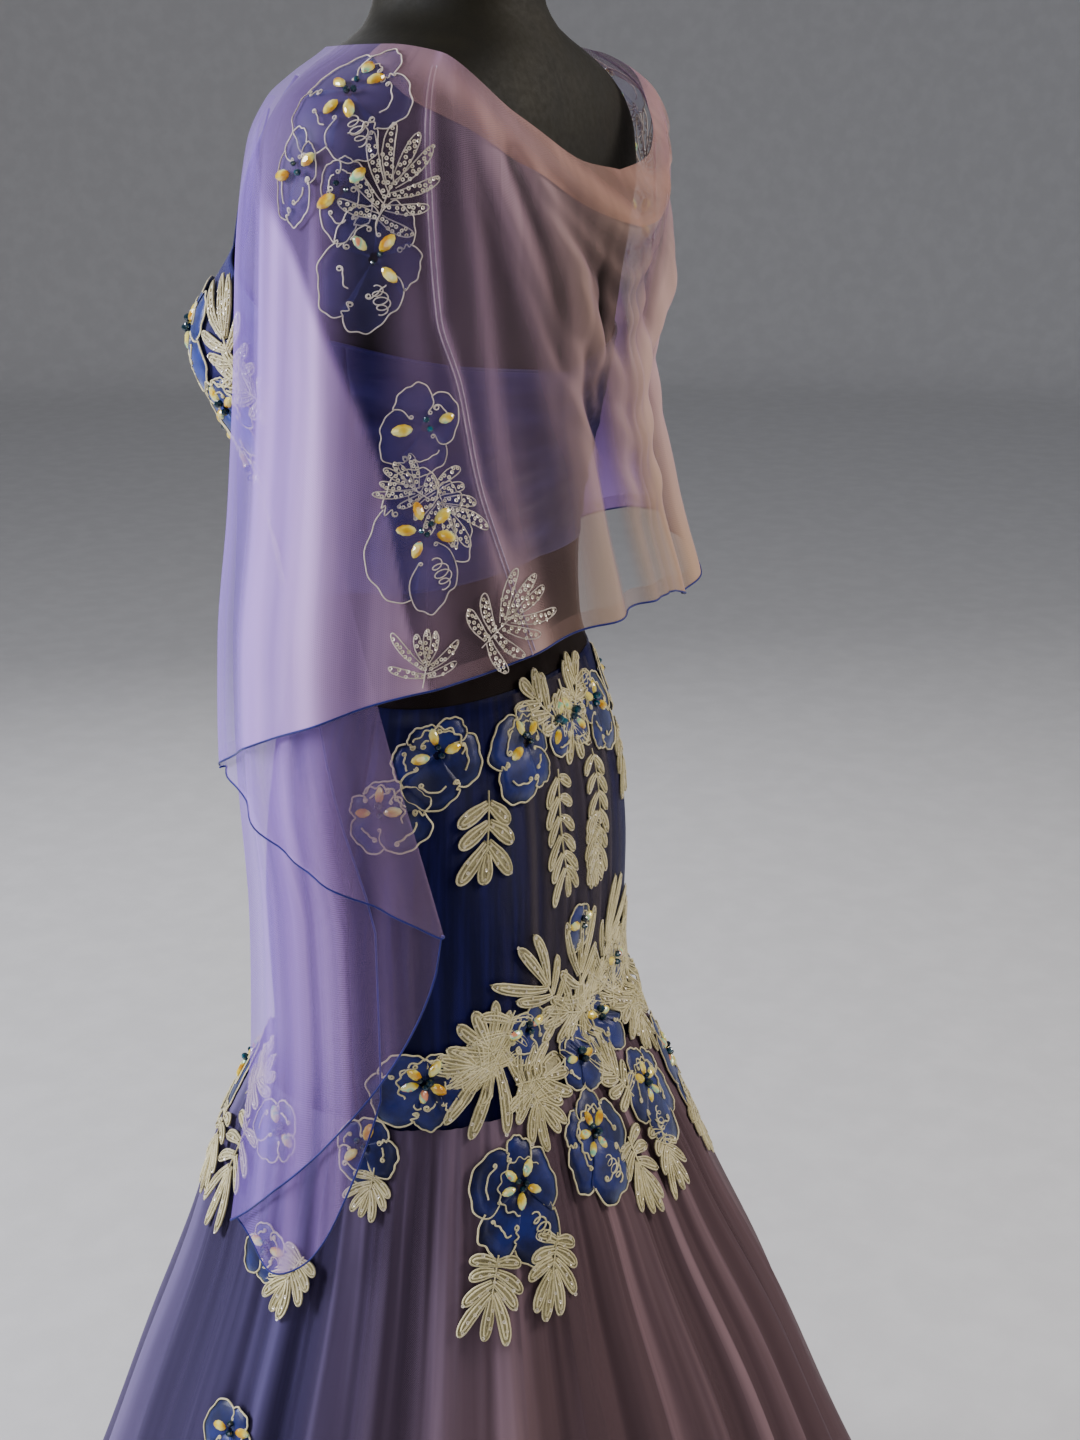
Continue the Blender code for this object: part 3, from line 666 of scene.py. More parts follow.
class Shader(Canvas):
    """One material and its nodes."""

    def __init__(self, name: str) -> None:
        """Starts an empty material of this name.

        Args:
            name: The material's name.
        """
        self.material = bpy.data.materials.new(name)
        self.material.use_nodes = True
        super().__init__(self.material.node_tree)
        self.tree.nodes.clear()

    def place(self) -> bpy.types.NodeSocket:
        """Object coordinates."""
        return self.node("ShaderNodeTexCoord").outputs["Object"]

    def along(self, axis: int) -> Signal:
        """One object coordinate, in metres."""
        apart = self.node("ShaderNodeSeparateXYZ", None, {0: self.place()})
        return Signal(self, apart.outputs[axis])

    def flat_cloth(self) -> tuple[bpy.types.NodeSocket, Signal, Signal]:
        """The place on the flat cloth: as a vector, then across and along it, in metres.

        Returns:
            The vector, the distance across and the distance along.
        """
        flat = self.node("ShaderNodeUVMap", {"uv_map": CLOTH_UV}).outputs[0]
        apart = self.node("ShaderNodeSeparateXYZ", None, {0: flat})
        return flat, Signal(self, apart.outputs[0]), Signal(self, apart.outputs[1])

    def layer(self, name: str) -> Signal:
        """A value that the mesh carries on its points."""
        return Signal(self, self.node("ShaderNodeAttribute", {"attribute_name": name}).outputs["Fac"])

    def stretched(self, vector: bpy.types.NodeSocket, scale: Colour) -> bpy.types.NodeSocket:
        """A vector scaled by a different amount along each axis."""
        return self.node("ShaderNodeVectorMath", {"operation": "MULTIPLY"}, {0: vector, 1: scale}).outputs[0]

    def noise(self, vector: bpy.types.NodeSocket, scale: float, detail: float = 3.0) -> Signal:
        """Soft noise from 0 to 1."""
        inputs = {"Vector": vector, "Scale": scale, "Detail": detail, "Roughness": 0.55}
        return Signal(self, self.node("ShaderNodeTexNoise", None, inputs).outputs[0])

    def blend(self, factor: Signal, first: object, second: object) -> bpy.types.NodeSocket:
        """A colour between two others.

        Args:
            factor: How much of the second colour shows.
            first: A socket or a plain colour.
            second: The same.

        Returns:
            The colour's socket.
        """
        made = self.node("ShaderNodeMix", {"data_type": "RGBA"}, {"Factor": factor})
        for socket, colour in ((made.inputs[6], first), (made.inputs[7], second)):
            self.feed(socket, colour if isinstance(colour, bpy.types.NodeSocket) else (*colour, 1.0))
        return made.outputs[2]

    def ramp(self, factor: object, stops: Sequence[tuple[float, Colour]]) -> bpy.types.NodeSocket:
        """A colour read from stops."""
        return self.node("ShaderNodeValToRGB", {"stops": stops}, {0: factor}).outputs[0]

    def bump(self, height: Signal, depth: float, strength: float = 1.0) -> bpy.types.NodeSocket:
        """A normal that shows a relief of that depth, in metres."""
        made = self.node("ShaderNodeBump", None, {"Strength": strength, "Distance": depth, "Height": height})
        return made.outputs[0]

    def finish(
        self,
        colour: object,
        roughness: object,
        alpha: Optional[Signal] = None,
        normal: Optional[bpy.types.NodeSocket] = None,
        constants: Optional[dict[str, object]] = None,
    ) -> bpy.types.Material:
        """Joins the shader and gives back the material.

        Args:
            colour: Base colour, fixed or varying.
            roughness: Roughness, fixed or varying.
            alpha: How much of the cloth covers what is behind it.
            normal: A bumped normal.
            constants: Values that are the same all over, such as sheen.

        Returns:
            The finished material.
        """
        inputs: dict[str, object] = {"Roughness": roughness, **(constants or {})}
        fixed = not isinstance(colour, bpy.types.NodeSocket)
        inputs["Base Color"] = (*colour, 1.0) if fixed else colour
        if alpha is not None:
            inputs["Alpha"] = alpha
        if normal is not None:
            inputs["Normal"] = normal
        surface = self.node("ShaderNodeBsdfPrincipled", None, inputs)
        self.node("ShaderNodeOutputMaterial", None, {"Surface": surface.outputs[0]})
        return self.material


class Finish:
    """A finish that makes its material once and then hands it out."""

    name: str

    def material(self) -> bpy.types.Material:
        """The finish's material."""
        return bpy.data.materials.get(self.name) or self.paint(Shader(self.name))

    def paint(self, shader: Shader) -> bpy.types.Material:
        """Lays the finish down in a new material."""
        raise NotImplementedError


def highlight_colour(colour: Colour, gain: float) -> Colour:
    """The paler colour of a painted highlight, for where the cloth is to look lit."""
    red, green, blue = (min(1.0, value * gain + 0.03) for value in colour)
    return red, green, blue


@dataclass(frozen=True)
class Net(Finish):
    """Sheer hexagonal net, closer in its folds, with painted light: cool in front, warm behind, paler on
    ridges.
    """

    name: str
    front: Colour
    side: Colour
    back: Colour
    cover: float
    cell: float = 0.0015
    contrast: float = 0.16
    streaks: float = 0.10
    streak_scale: float = 60.0
    folds: float = 0.20
    fades: bool = False
    reach: float = 0.30
    glow: float = 0.30
    gain: float = 1.5
    drag: Colour = (1.0, 0.05, 1.0)
    cloud_scale: float = 7.0
    clouds: float = 0.12
    light_tint_stops: tuple[float, float, float] = (0.12, 0.45, 0.74)
    roughness: float = 0.7

    def paint(self, shader: Shader) -> bpy.types.Material:
        """Lays the finish down in a new material.

        Args:
            shader: The new material's shader.

        Returns:
            The material.
        """
        flat, across, along = shader.flat_cloth()
        pitch = 2 * math.pi / (self.cell * math.cos(math.radians(30)))
        slant = math.sin(math.radians(60))
        threads = (across * pitch).cosine()
        threads = threads + ((along * slant - across * 0.5) * pitch).cosine()
        threads = threads + ((along * slant + across * 0.5) * pitch).cosine()
        holes = (threads * 0.3 + 0.3).clamped()
        streak = shader.noise(shader.stretched(flat, self.drag), self.streak_scale, 4.0)
        cloud = shader.noise(flat, self.cloud_scale, 2.0)
        fold = shader.layer(FOLD_AND_HIGHLIGHT_LAYER)
        cover = self.cover + (0.5 - holes) * self.contrast + (streak - 0.5) * (2 * self.streaks)
        cover = cover + (cloud - 0.5) * self.clouds + fold * self.folds
        if self.fades:
            cover = cover * shader.layer(EDGE_LAYER)
        # Painted coloured light: the net's colour runs from cool at the front to warm at the back
        share = (shader.along(1) + self.reach) * (0.5 / self.reach)
        light_tints = tuple(zip(self.light_tint_stops, (self.front, self.side, self.back)))
        light_tint = shader.ramp(share, light_tints)
        # Painted highlight: a paler copy of the colour, laid on fold ridges and along the streaks
        pale = shader.ramp(share, tuple((stop, highlight_colour(colour, self.gain)) for stop, colour in light_tints))
        colour = shader.blend(((streak - 0.45) * 1.5 + fold * self.glow).clamped() * 0.7, light_tint, pale)
        return shader.finish(
            colour,
            self.roughness,
            cover.clamped(),
            None,
            {
                "Sheen Weight": 0.3,
                "Sheen Roughness": 0.35,
                "Sheen Tint": (*self.side, 1.0),
                "Specular IOR Level": 0.2,
            },
        )


@dataclass(frozen=True)
class Satin(Finish):
    """Smooth satin with a fine weave and soft pull lines, along which it is painted lighter as a sheen."""

    name: str
    deep: Colour
    light: Colour
    roughness: float
    weave: float = 0.0004
    drag: Colour = (1.0, 0.2, 1.0)
    sheen: float = 0.35
    pull_scale: float = 38.0
    fibre_scale: float = 900.0
    relief: float = 0.0012

    def paint(self, shader: Shader) -> bpy.types.Material:
        """Lays the finish down in a new material.

        Args:
            shader: The new material's shader.

        Returns:
            The material.
        """
        flat, across, along = shader.flat_cloth()
        pulls = shader.noise(shader.stretched(flat, self.drag), self.pull_scale, 4.0)
        fine = shader.noise(flat, self.fibre_scale, 1.0)
        pitch = 2 * math.pi / self.weave
        ribs = (across * pitch + along * (pitch * 0.5)).sine()
        # Painted sheen: the colour is lighter along the pull lines
        colour = shader.blend(pulls.between(0.38, 0.72), self.deep, self.light)
        height = pulls * 0.6 + fine * 0.2 + ribs * 0.05
        return shader.finish(
            colour,
            self.roughness + (pulls - 0.5) * 0.25,
            None,
            shader.bump(height, self.relief, 0.5),
            {
                "Sheen Weight": self.sheen,
                "Sheen Roughness": 0.4,
                "Sheen Tint": (0.6, 0.6, 1.0, 1.0),
                "Specular IOR Level": 0.22,
            },
        )


@dataclass(frozen=True)
class Organza(Finish):
    """Royal-blue organza petals, cloudy where the weave catches light."""

    name: str
    deep: Colour
    light: Colour
    cover: float = 1.0
    cloud_scale: float = 42.0
    thread_scale: float = 1400.0
    relief: float = 0.0002

    def paint(self, shader: Shader) -> bpy.types.Material:
        """Lays the finish down in a new material.

        Args:
            shader: The new material's shader.

        Returns:
            The material.
        """
        place = shader.place()
        cloud = shader.noise(place, self.cloud_scale, 4.0)
        threads = shader.noise(shader.stretched(place, (1.0, 1.0, 3.0)), self.thread_scale, 1.0)
        colour = shader.blend((cloud * 0.8 + threads * 0.2).between(0.36, 0.66), self.deep, self.light)
        alpha = (self.cover + (cloud - 0.5) * (0.8 * self.cover)).clamped() if self.cover < 1.0 else None
        return shader.finish(
            colour,
            0.42 - cloud * 0.14,
            alpha,
            shader.bump(threads, self.relief, 0.6),
            {"Sheen Weight": 0.4, "Sheen Tint": (0.6, 0.7, 1.0, 1.0)},
        )


@dataclass(frozen=True)
class Thread(Finish):
    """Twisted thread and cord."""

    name: str
    deep: Colour
    light: Colour
    twist: float = 1800.0
    age_scale: float = 60.0
    relief: float = 0.0003

    def paint(self, shader: Shader) -> bpy.types.Material:
        """Lays the finish down in a new material.

        Args:
            shader: The new material's shader.

        Returns:
            The material.
        """
        place = shader.place()
        fibres = shader.noise(place, self.twist, 2.0)
        aged = shader.noise(place, self.age_scale, 2.0)
        colour = shader.blend((fibres * 0.6 + aged * 0.4).between(0.30, 0.62), self.deep, self.light)
        return shader.finish(
            colour, 0.62, None, shader.bump(fibres, self.relief, 0.8), {"Sheen Weight": 0.3}
        )


@dataclass(frozen=True)
class Crystal(Finish):
    """Stones, beads and sequins, whose colour shifts from place to place."""

    name: str
    stops: tuple[tuple[float, Colour], ...]
    roughness: float = 0.12
    glow: float = 0.0
    film_scale: float = 95.0

    def paint(self, shader: Shader) -> bpy.types.Material:
        """Lays the finish down in a new material.

        Args:
            shader: The new material's shader.

        Returns:
            The material.
        """
        shift = shader.noise(shader.place(), self.film_scale, 1.0)
        colour = shader.ramp((shift - 0.3) * 2.5, self.stops)
        constants: dict[str, object] = {"Coat Weight": 0.8, "Coat Roughness": 0.05, "IOR": 1.7}
        # Painted glow: the stone gives off light of its own colour
        if self.glow:
            constants.update({"Emission Color": colour, "Emission Strength": self.glow})
        return shader.finish(colour, self.roughness, None, None, constants)


@dataclass(frozen=True)
class Shell(Finish):
    """Skin of the form, paint of its stand and paper of the floor, each with faint marks."""

    name: str
    deep: Colour
    light: Colour
    roughness: float
    metallic: float = 0.0
    grain: float = 220.0
    depth: float = 0.0003
    cloud_scale: float = 14.0

    def paint(self, shader: Shader) -> bpy.types.Material:
        """Lays the finish down in a new material.

        Args:
            shader: The new material's shader.

        Returns:
            The material.
        """
        place = shader.place()
        cloud = shader.noise(place, self.cloud_scale, 3.0)
        grain = shader.noise(place, self.grain, 3.0)
        colour = shader.blend(cloud.between(0.35, 0.7), self.deep, self.light)
        return shader.finish(
            colour,
            self.roughness + (grain - 0.5) * 0.2,
            None,
            shader.bump(grain, self.depth, 0.5),
            {"Metallic": self.metallic},
        )


# The nets' front, side and back colours are painted coloured light, cool to the front and warm to the back
CAPE_NET = Net(
    "cape_net", (0.24, 0.185, 0.92), (0.46, 0.295, 0.78), (0.40, 0.275, 0.195), 0.19, streaks=0.05, folds=0.25
)
FOLDED_NET = Net(
    "cape_folded_net", (0.36, 0.31, 0.78), (0.52, 0.34, 0.44), (0.58, 0.34, 0.24), 0.40, streaks=0.06
)
TURNED_NET = Net(
    "cape_turned_net", (0.30, 0.27, 0.66), (0.42, 0.29, 0.54), (0.46, 0.29, 0.23), 0.24, streaks=0.04
)
SKIRT_NET = Net(
    "skirt_net", (0.114, 0.092, 0.172), (0.070, 0.058, 0.134), (0.172, 0.112, 0.122), 0.76,
    cell=0.0017, contrast=0.05, streaks=0.12, streak_scale=20.0, folds=0.12, glow=1.0, gain=2.5,
)
INNER_NET = Net(
    "inner_net", (0.085, 0.074, 0.150), (0.056, 0.046, 0.112), (0.130, 0.084, 0.094), 0.70,
    cell=0.0017, contrast=0.05, streaks=0.12, streak_scale=26.0, folds=0.1, glow=0.8, gain=2.0,
)
OVERLAY_NET = Net(
    "hip_net", (0.08, 0.07, 0.12), (0.085, 0.070, 0.095), (0.105, 0.085, 0.090), 0.52,
    contrast=0.10, streaks=0.30, streak_scale=40.0, folds=0.2, fades=True,
)
WAIST_NET = Net("waist_net", (0.020, 0.014, 0.020), (0.022, 0.015, 0.016), (0.030, 0.018, 0.014), 0.66)
# The satins' light colours are a painted sheen along their pull lines
VIOLET_SATIN = Satin(
    "violet_chiffon", (0.022, 0.020, 0.105), (0.055, 0.050, 0.200), 0.45, drag=(0.15, 1.0, 1.0), sheen=0.2
)
NAVY_SATIN = Satin("navy_satin_face", (0.003, 0.004, 0.045), (0.013, 0.013, 0.108), 0.42, sheen=0.06)
NAVY_LINING = Satin("navy_lining_face", (0.004, 0.004, 0.040), (0.012, 0.012, 0.080), 0.44, sheen=0.06)
# One petal organza in two copies: painted lighter on the bodice, and painted darker, as in shade, below the
# waist
PETAL_BLUE_SHADED = Organza("petal_organza", (0.004, 0.006, 0.050), (0.018, 0.030, 0.195))
PETAL_BLUE_LIT = Organza("bodice_organza", (0.008, 0.015, 0.110), (0.034, 0.066, 0.380))
VEILED_BLUE = Organza("veiled_organza", (0.070, 0.070, 0.360), (0.150, 0.140, 0.520), 0.09)
IVORY_CORD = Thread("ivory_cord", (0.50, 0.44, 0.23), (0.84, 0.76, 0.48))
VEILED_CORD = Thread("veiled_cord", (0.50, 0.43, 0.36), (0.80, 0.71, 0.62))
# The leaves' fill, darker than the cords: the net showing through it, and painted shade between the cords
LEAF_FILL_AND_SHADE = Thread("ivory_stitch", (0.22, 0.19, 0.10), (0.46, 0.41, 0.24), 900.0)
BLUE_CORD = Thread("blue_hem_thread", (0.004, 0.006, 0.100), (0.012, 0.020, 0.240))
SEQUIN = Crystal("ivory_sequin", ((0.0, (0.60, 0.52, 0.38)), (1.0, (0.88, 0.80, 0.66))), 0.22)
# The stones' green and red patches are painted flashes of light, and their slight glow is a painted glow
STONE = Crystal(
    "pearly_stone",
    (
        (0.0, (0.62, 0.30, 0.03)),
        (0.30, (0.80, 0.56, 0.07)),
        (0.55, (0.86, 0.74, 0.22)),
        (0.75, (0.76, 0.76, 0.36)),
        (0.88, (0.30, 0.72, 0.46)),
        (1.0, (0.86, 0.36, 0.20)),
    ),
    0.10,
    0.05,
)
SEAM_THREAD = Thread("seam_thread", (0.28, 0.21, 0.32), (0.52, 0.40, 0.50), 900.0)
DARK_BEAD = Crystal(
    "teal_bead", ((0.0, (0.002, 0.012, 0.018)), (0.7, (0.004, 0.05, 0.08)), (1.0, (0.02, 0.16, 0.22))), 0.08
)
FORM_SKIN = Shell("form_skin", (0.008, 0.0065, 0.002), (0.018, 0.0145, 0.005), 0.70)
STAND_PAINT = Shell("stand_paint", (0.030, 0.030, 0.030), (0.060, 0.060, 0.060), 0.38, 0.7, 600.0, 0.0001)
FLOOR_PAPER = Shell("floor_paper", (0.60, 0.595, 0.59), (0.63, 0.625, 0.62), 0.85)


# Meshes


def add_mesh(
    name: str,
    points: np.ndarray,
    faces: Sequence[Sequence[int]],
    material: Optional[bpy.types.Material],
    flat: Optional[np.ndarray] = None,
    edges: Sequence[Sequence[int]] = (),
) -> bpy.types.Object:
    """Adds an object at the origin.

    Args:
        name: The object's name.
        points: Its points.
        faces: Its faces, by point.
        material: Its finish, if it has one yet.
        flat: Each point's place on the flat cloth.
        edges: Edges with no face, for what becomes a cord.

    Returns:
        The object.
    """
    mesh = bpy.data.meshes.new(name)
    mesh.from_pydata(np.asarray(points, float).reshape(-1, 3).tolist(), list(edges), list(faces))
    if flat is not None:
        corners = np.empty(len(mesh.loops), np.int32)
        mesh.loops.foreach_get("vertex_index", corners)
        layer = mesh.uv_layers.new(name=CLOTH_UV)
        layer.data.foreach_set("uv", flat.reshape(-1, 2)[corners].astype(np.float32).ravel())
    if faces:
        mesh.shade_smooth()
    if material:
        mesh.materials.append(material)
    made = bpy.data.objects.new(name, mesh)
    bpy.context.scene.collection.objects.link(made)
    return made


def face_count(thing: bpy.types.Object) -> int:
    """How many triangles a mesh has."""
    return sum(len(face.vertices) - 2 for face in thing.data.polygons)


def grid_faces(rows: int, columns: int) -> list[tuple[int, ...]]:
    """Quads between rows and columns of points.

    Args:
        rows: How many rows.
        columns: How many columns.

    Returns:
        The corners of each quad.
    """
    index = np.arange(rows * columns).reshape(rows, columns)
    quads = np.stack([index[:-1, :-1], index[:-1, 1:], index[1:, 1:], index[1:, :-1]], axis=-1)
    return [tuple(quad) for quad in quads.reshape(-1, 4).tolist()]


def walled_faces(rows: int, columns: int) -> list[tuple[int, ...]]:
    """Faces of a closed wall between two such grids, the outer one first.

    Args:
        rows: How many rows.
        columns: How many columns.

    Returns:
        The corners of each face.
    """
    outer = grid_faces(rows, columns)
    count = rows * columns
    index = np.arange(count).reshape(rows, columns)
    rim = [int(k) for k in (*index[0], *index[1:, -1], *index[-1, -2::-1], *index[-2:0:-1, 0])]
    inner = [tuple(k + count for k in reversed(face)) for face in outer]
    edge = [(b, a, a + count, b + count) for a, b in zip(rim, rim[1:] + rim[:1])]
    return outer + inner + edge


def ring_faces(count: int, rings: int) -> list[tuple[int, ...]]:
    """Faces of a closed body through rings of points, from its underside up.

    Args:
        count: How many points a ring has.
        rings: How many rings.

    Returns:
        The corners of each face, the two ends first.
    """
    last = (rings - 1) * count
    faces = [tuple(reversed(range(count))), tuple(range(last, last + count))]
    for start in range(0, last, count):
        for k in range(count):
            a, b = start + k, start + (k + 1) % count
            faces.append((a, b, b + count, a + count))
    return faces


@dataclass
class Cloth:
    """A sheet in rows, upwards, and columns, round the dress, with its place on the flat cloth."""

    points: np.ndarray
    layers: dict[str, np.ndarray] = field(default_factory=dict)
    flat: np.ndarray = field(init=False)

    def __post_init__(self) -> None:
        """Lays the sheet out flat, at its fullest width and its mean length."""
        across = np.linalg.norm(np.diff(self.points, axis=1), axis=2).max(axis=0)
        along = np.linalg.norm(np.diff(self.points, axis=0), axis=2).mean(axis=1)
        wide = np.concatenate([[0.0], np.cumsum(across)])
        long = np.concatenate([[0.0], np.cumsum(along)])
        self.flat = np.stack(np.meshgrid(wide, long), axis=-1)

    @property
    def size(self) -> tuple[float, float]:
        """Width and length of the cut."""
        return float(self.flat[-1, -1, 0]), float(self.flat[-1, -1, 1])

    @property
    def area(self) -> float:
        """Area of the cloth, in square metres.

        Returns:
            The area.
        """
        one = self.points[1:, 1:] - self.points[:-1, :-1]
        two = self.points[1:, :-1] - self.points[:-1, 1:]
        return float(np.linalg.norm(np.cross(one, two), axis=2).sum() / 2)

    def normals(self) -> np.ndarray:
        """Outward normals of the points.

        Returns:
            A unit vector for each point.
        """
        along, up = (np.gradient(self.points, axis=axis, edge_order=2) for axis in (1, 0))
        normal = np.cross(along, up)
        return normal / np.maximum(np.linalg.norm(normal, axis=2, keepdims=True), 1e-12)

    def faces(self) -> list[tuple[int, ...]]:
        """The sheet's quads, facing outwards."""
        return grid_faces(*self.points.shape[:2])

    def single(self, name: str, finish: Finish) -> bpy.types.Object:
        """Makes the sheet as one layer, for net that is seen through, with the values it carries.

        Args:
            name: The piece's name.
            finish: Its finish.

        Returns:
            The piece.
        """
        made = add_mesh(name, self.points, self.faces(), finish.material(), self.flat)
        for label in (FOLD_AND_HIGHLIGHT_LAYER, EDGE_LAYER):
            values = self.layers.get(label, np.full(self.points.shape[:2], float(label == EDGE_LAYER)))
            layer = made.data.attributes.new(label, "FLOAT", "POINT")
            layer.data.foreach_set("value", np.asarray(values, np.float32).ravel())
        return made

    def walled(self, name: str, finish: Finish, thickness: float) -> bpy.types.Object:
        """Makes the sheet as a closed thin wall behind its points.

        Args:
            name: The piece's name.
            finish: Its finish.
            thickness: How thick the wall is.

        Returns:
            The piece.
        """
        inner = self.points - self.normals() * thickness
        faces = walled_faces(*self.points.shape[:2])
        both = np.concatenate([self.points.reshape(-1, 3), inner.reshape(-1, 3)])
        flat = np.concatenate([self.flat.reshape(-1, 2)] * 2)
        return add_mesh(name, both, faces, finish.material(), flat)

    def mirrored(self) -> "Cloth":
        """The same sheet on the wearer's other side."""
        turned = {label: values[:, ::-1] for label, values in self.layers.items()}
        return Cloth(self.points[:, ::-1] * np.array([-1.0, 1.0, 1.0]), turned)


class Slot(Enum):
    """The record's slots."""

    FORM_BLACK = "form_black"
    VIOLET_SATIN = "violet_satin"
    NAVY_SATIN = "navy_satin"
    MAUVE_TULLE = "mauve_tulle"
    CAPE_TULLE = "cape_tulle"
    WAIST_MESH = "waist_mesh"
    BLUE_ORGANZA = "blue_organza"
    IVORY_LACE = "ivory_lace"


class Held(Enum):
    """How a sheet of cloth is held."""

    STRETCHED = "stretched"
    GATHERED = "gathered"
    DRAPED = "draped"
    FOLDED = "folded"
    HUNG = "hung"


def present(piece: bpy.types.Object, slot: Slot, replaces: Sequence[str] = ()) -> bpy.types.Object:
    """Lets a finished piece ride on the part.

    Args:
        piece: The piece, at the origin.
        slot: Not used.
        replaces: The solids that it stands for.

    Returns:
        The piece.
    """
    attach(piece, "root")
    if replaces:
        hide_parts(*replaces)
    log.info("%s: %d triangles", piece.name, face_count(piece))
    return piece


def present_cloth(
    piece: bpy.types.Object,
    cloth: Cloth,
    slot: Slot,
    held: Held,
    rests_on: Sequence[str],
    replaces: Sequence[str] = (),
) -> bpy.types.Object:
    """Lets a sheet of cloth ride on the part.

    Args:
        piece: The piece, at the origin.
        cloth: Its sheet.
        slot: The record's slot, passed on to present.
        held: Not used.
        rests_on: What it lies on or hangs from.
        replaces: The solids that it stands for.

    Returns:
        The piece.
    """
    present(piece, slot, replaces)
    width, length = cloth.size
    area = min(max(cloth.area, LEAST_SHARE * width * length), width * length)
    list(rests_on)
    return piece


# Cords, stones and sequins


class Sewing(Canvas):
    """A geometry tree with named inputs, run once on an object to make a plain mesh."""

    is_round = True

    def __init__(self, name: str, inputs: dict[str, str]) -> None:
        """Starts a tree.

        Args:
            name: The tree's name.
            inputs: The type of each named input's socket.
        """
        tree = bpy.data.node_groups.new(name, "GeometryNodeTree")
        super().__init__(tree)
        tree.interface.new_socket("Geometry", in_out="INPUT", socket_type="NodeSocketGeometry")
        for label, kind in inputs.items():
            tree.interface.new_socket(label, in_out="INPUT", socket_type=kind)
        tree.interface.new_socket("Geometry", in_out="OUTPUT", socket_type="NodeSocketGeometry")
        self.start = self.node("NodeGroupInput")
        self.build()

    def given(self, label: str) -> bpy.types.NodeSocket:
        """A named input of the tree."""
        return self.start.outputs[label]

    def build(self) -> None:
        """Adds the tree's nodes."""
        raise NotImplementedError

    def end(self, geometry: bpy.types.NodeSocket) -> None:
        """Realizes the instances and gives the result its finish.

        Args:
            geometry: The geometry to give out.
        """
        real = self.node("GeometryNodeRealizeInstances", None, {0: geometry})
        even = self.node("GeometryNodeSetShadeSmooth", None, {"Geometry": real.outputs[0]})
        even.inputs["Shade Smooth"].default_value = self.is_round
        dressed = self.node(
            "GeometryNodeSetMaterial", None, {"Geometry": even.outputs[0], "Material": self.given("Finish")}
        )
        self.node("NodeGroupOutput", None, {0: dressed.outputs[0]})

    def run(self, name: str, source: bpy.types.Object, **values: object) -> bpy.types.Object:
        """Makes a plain mesh from a source object, which is then removed.

        Args:
            name: The new piece's name.
            source: The object that the tree reads.
            **values: The tree's inputs, by name.

        Returns:
            The new piece.
        """
        modifier = source.modifiers.new("sewing", "NODES")
        modifier.node_group = self.tree
        for item in self.tree.interface.items_tree:
            if item.in_out == "INPUT" and item.name in values:
                modifier[item.identifier] = values[item.name]
        graph = bpy.context.evaluated_depsgraph_get()
        mesh = bpy.data.meshes.new_from_object(source.evaluated_get(graph), depsgraph=graph)
        mesh.name = name
        made = bpy.data.objects.new(name, mesh)
        bpy.context.scene.collection.objects.link(made)
        bpy.data.objects.remove(source)
        return made


class CordSewing(Sewing):
    """Lays a round cord along every path of edges."""

    def __init__(self) -> None:
        """Makes the tree, with the cord's radius and its number of sides as inputs."""
        super().__init__(
            "lay_cord",
            {"Radius": "NodeSocketFloat", "Sides": "NodeSocketInt", "Finish": "NodeSocketMaterial"},
        )

    def build(self) -> None:
        """Adds the tree's nodes."""
        path = self.node("GeometryNodeMeshToCurve", None, {"Mesh": self.given("Geometry")})
        ring = self.node(
            "GeometryNodeCurvePrimitiveCircle",
            {"mode": "RADIUS"},
            {"Resolution": self.given("Sides"), "Radius": self.given("Radius")},
        )
        laid = self.node(
            "GeometryNodeCurveToMesh",
            None,
            {"Curve": path.outputs[0], "Profile Curve": ring.outputs[0], "Fill Caps": True},
        )
        self.end(laid.outputs[0])


class SettingSewing(Sewing):
    """Sets a stone or bead at every point, turned and sized by the point's attributes."""

    is_round = False

    def __init__(self) -> None:
        """Makes the tree, with the stone as an input."""
        super().__init__("set_stones", {"Stone": "NodeSocketObject", "Finish": "NodeSocketMaterial"})

    def build(self) -> None:
        """Adds the tree's nodes."""
        stone = self.node("GeometryNodeObjectInfo", None, {"Object": self.given("Stone")})
        turn = self.node("GeometryNodeInputNamedAttribute", {"data_type": "FLOAT_VECTOR"}, {"Name": "turn"})
        size = self.node("GeometryNodeInputNamedAttribute", {"data_type": "FLOAT_VECTOR"}, {"Name": "size"})
        rotation = self.node("FunctionNodeEulerToRotation", None, {0: turn.outputs[0]})
        set_stones = self.node(
            "GeometryNodeInstanceOnPoints",
            None,
            {
                "Points": self.given("Geometry"),
                "Instance": stone.outputs["Geometry"],
                "Rotation": rotation.outputs[0],
                "Scale": size.outputs[0],
            },
        )
        self.end(set_stones.outputs[0])


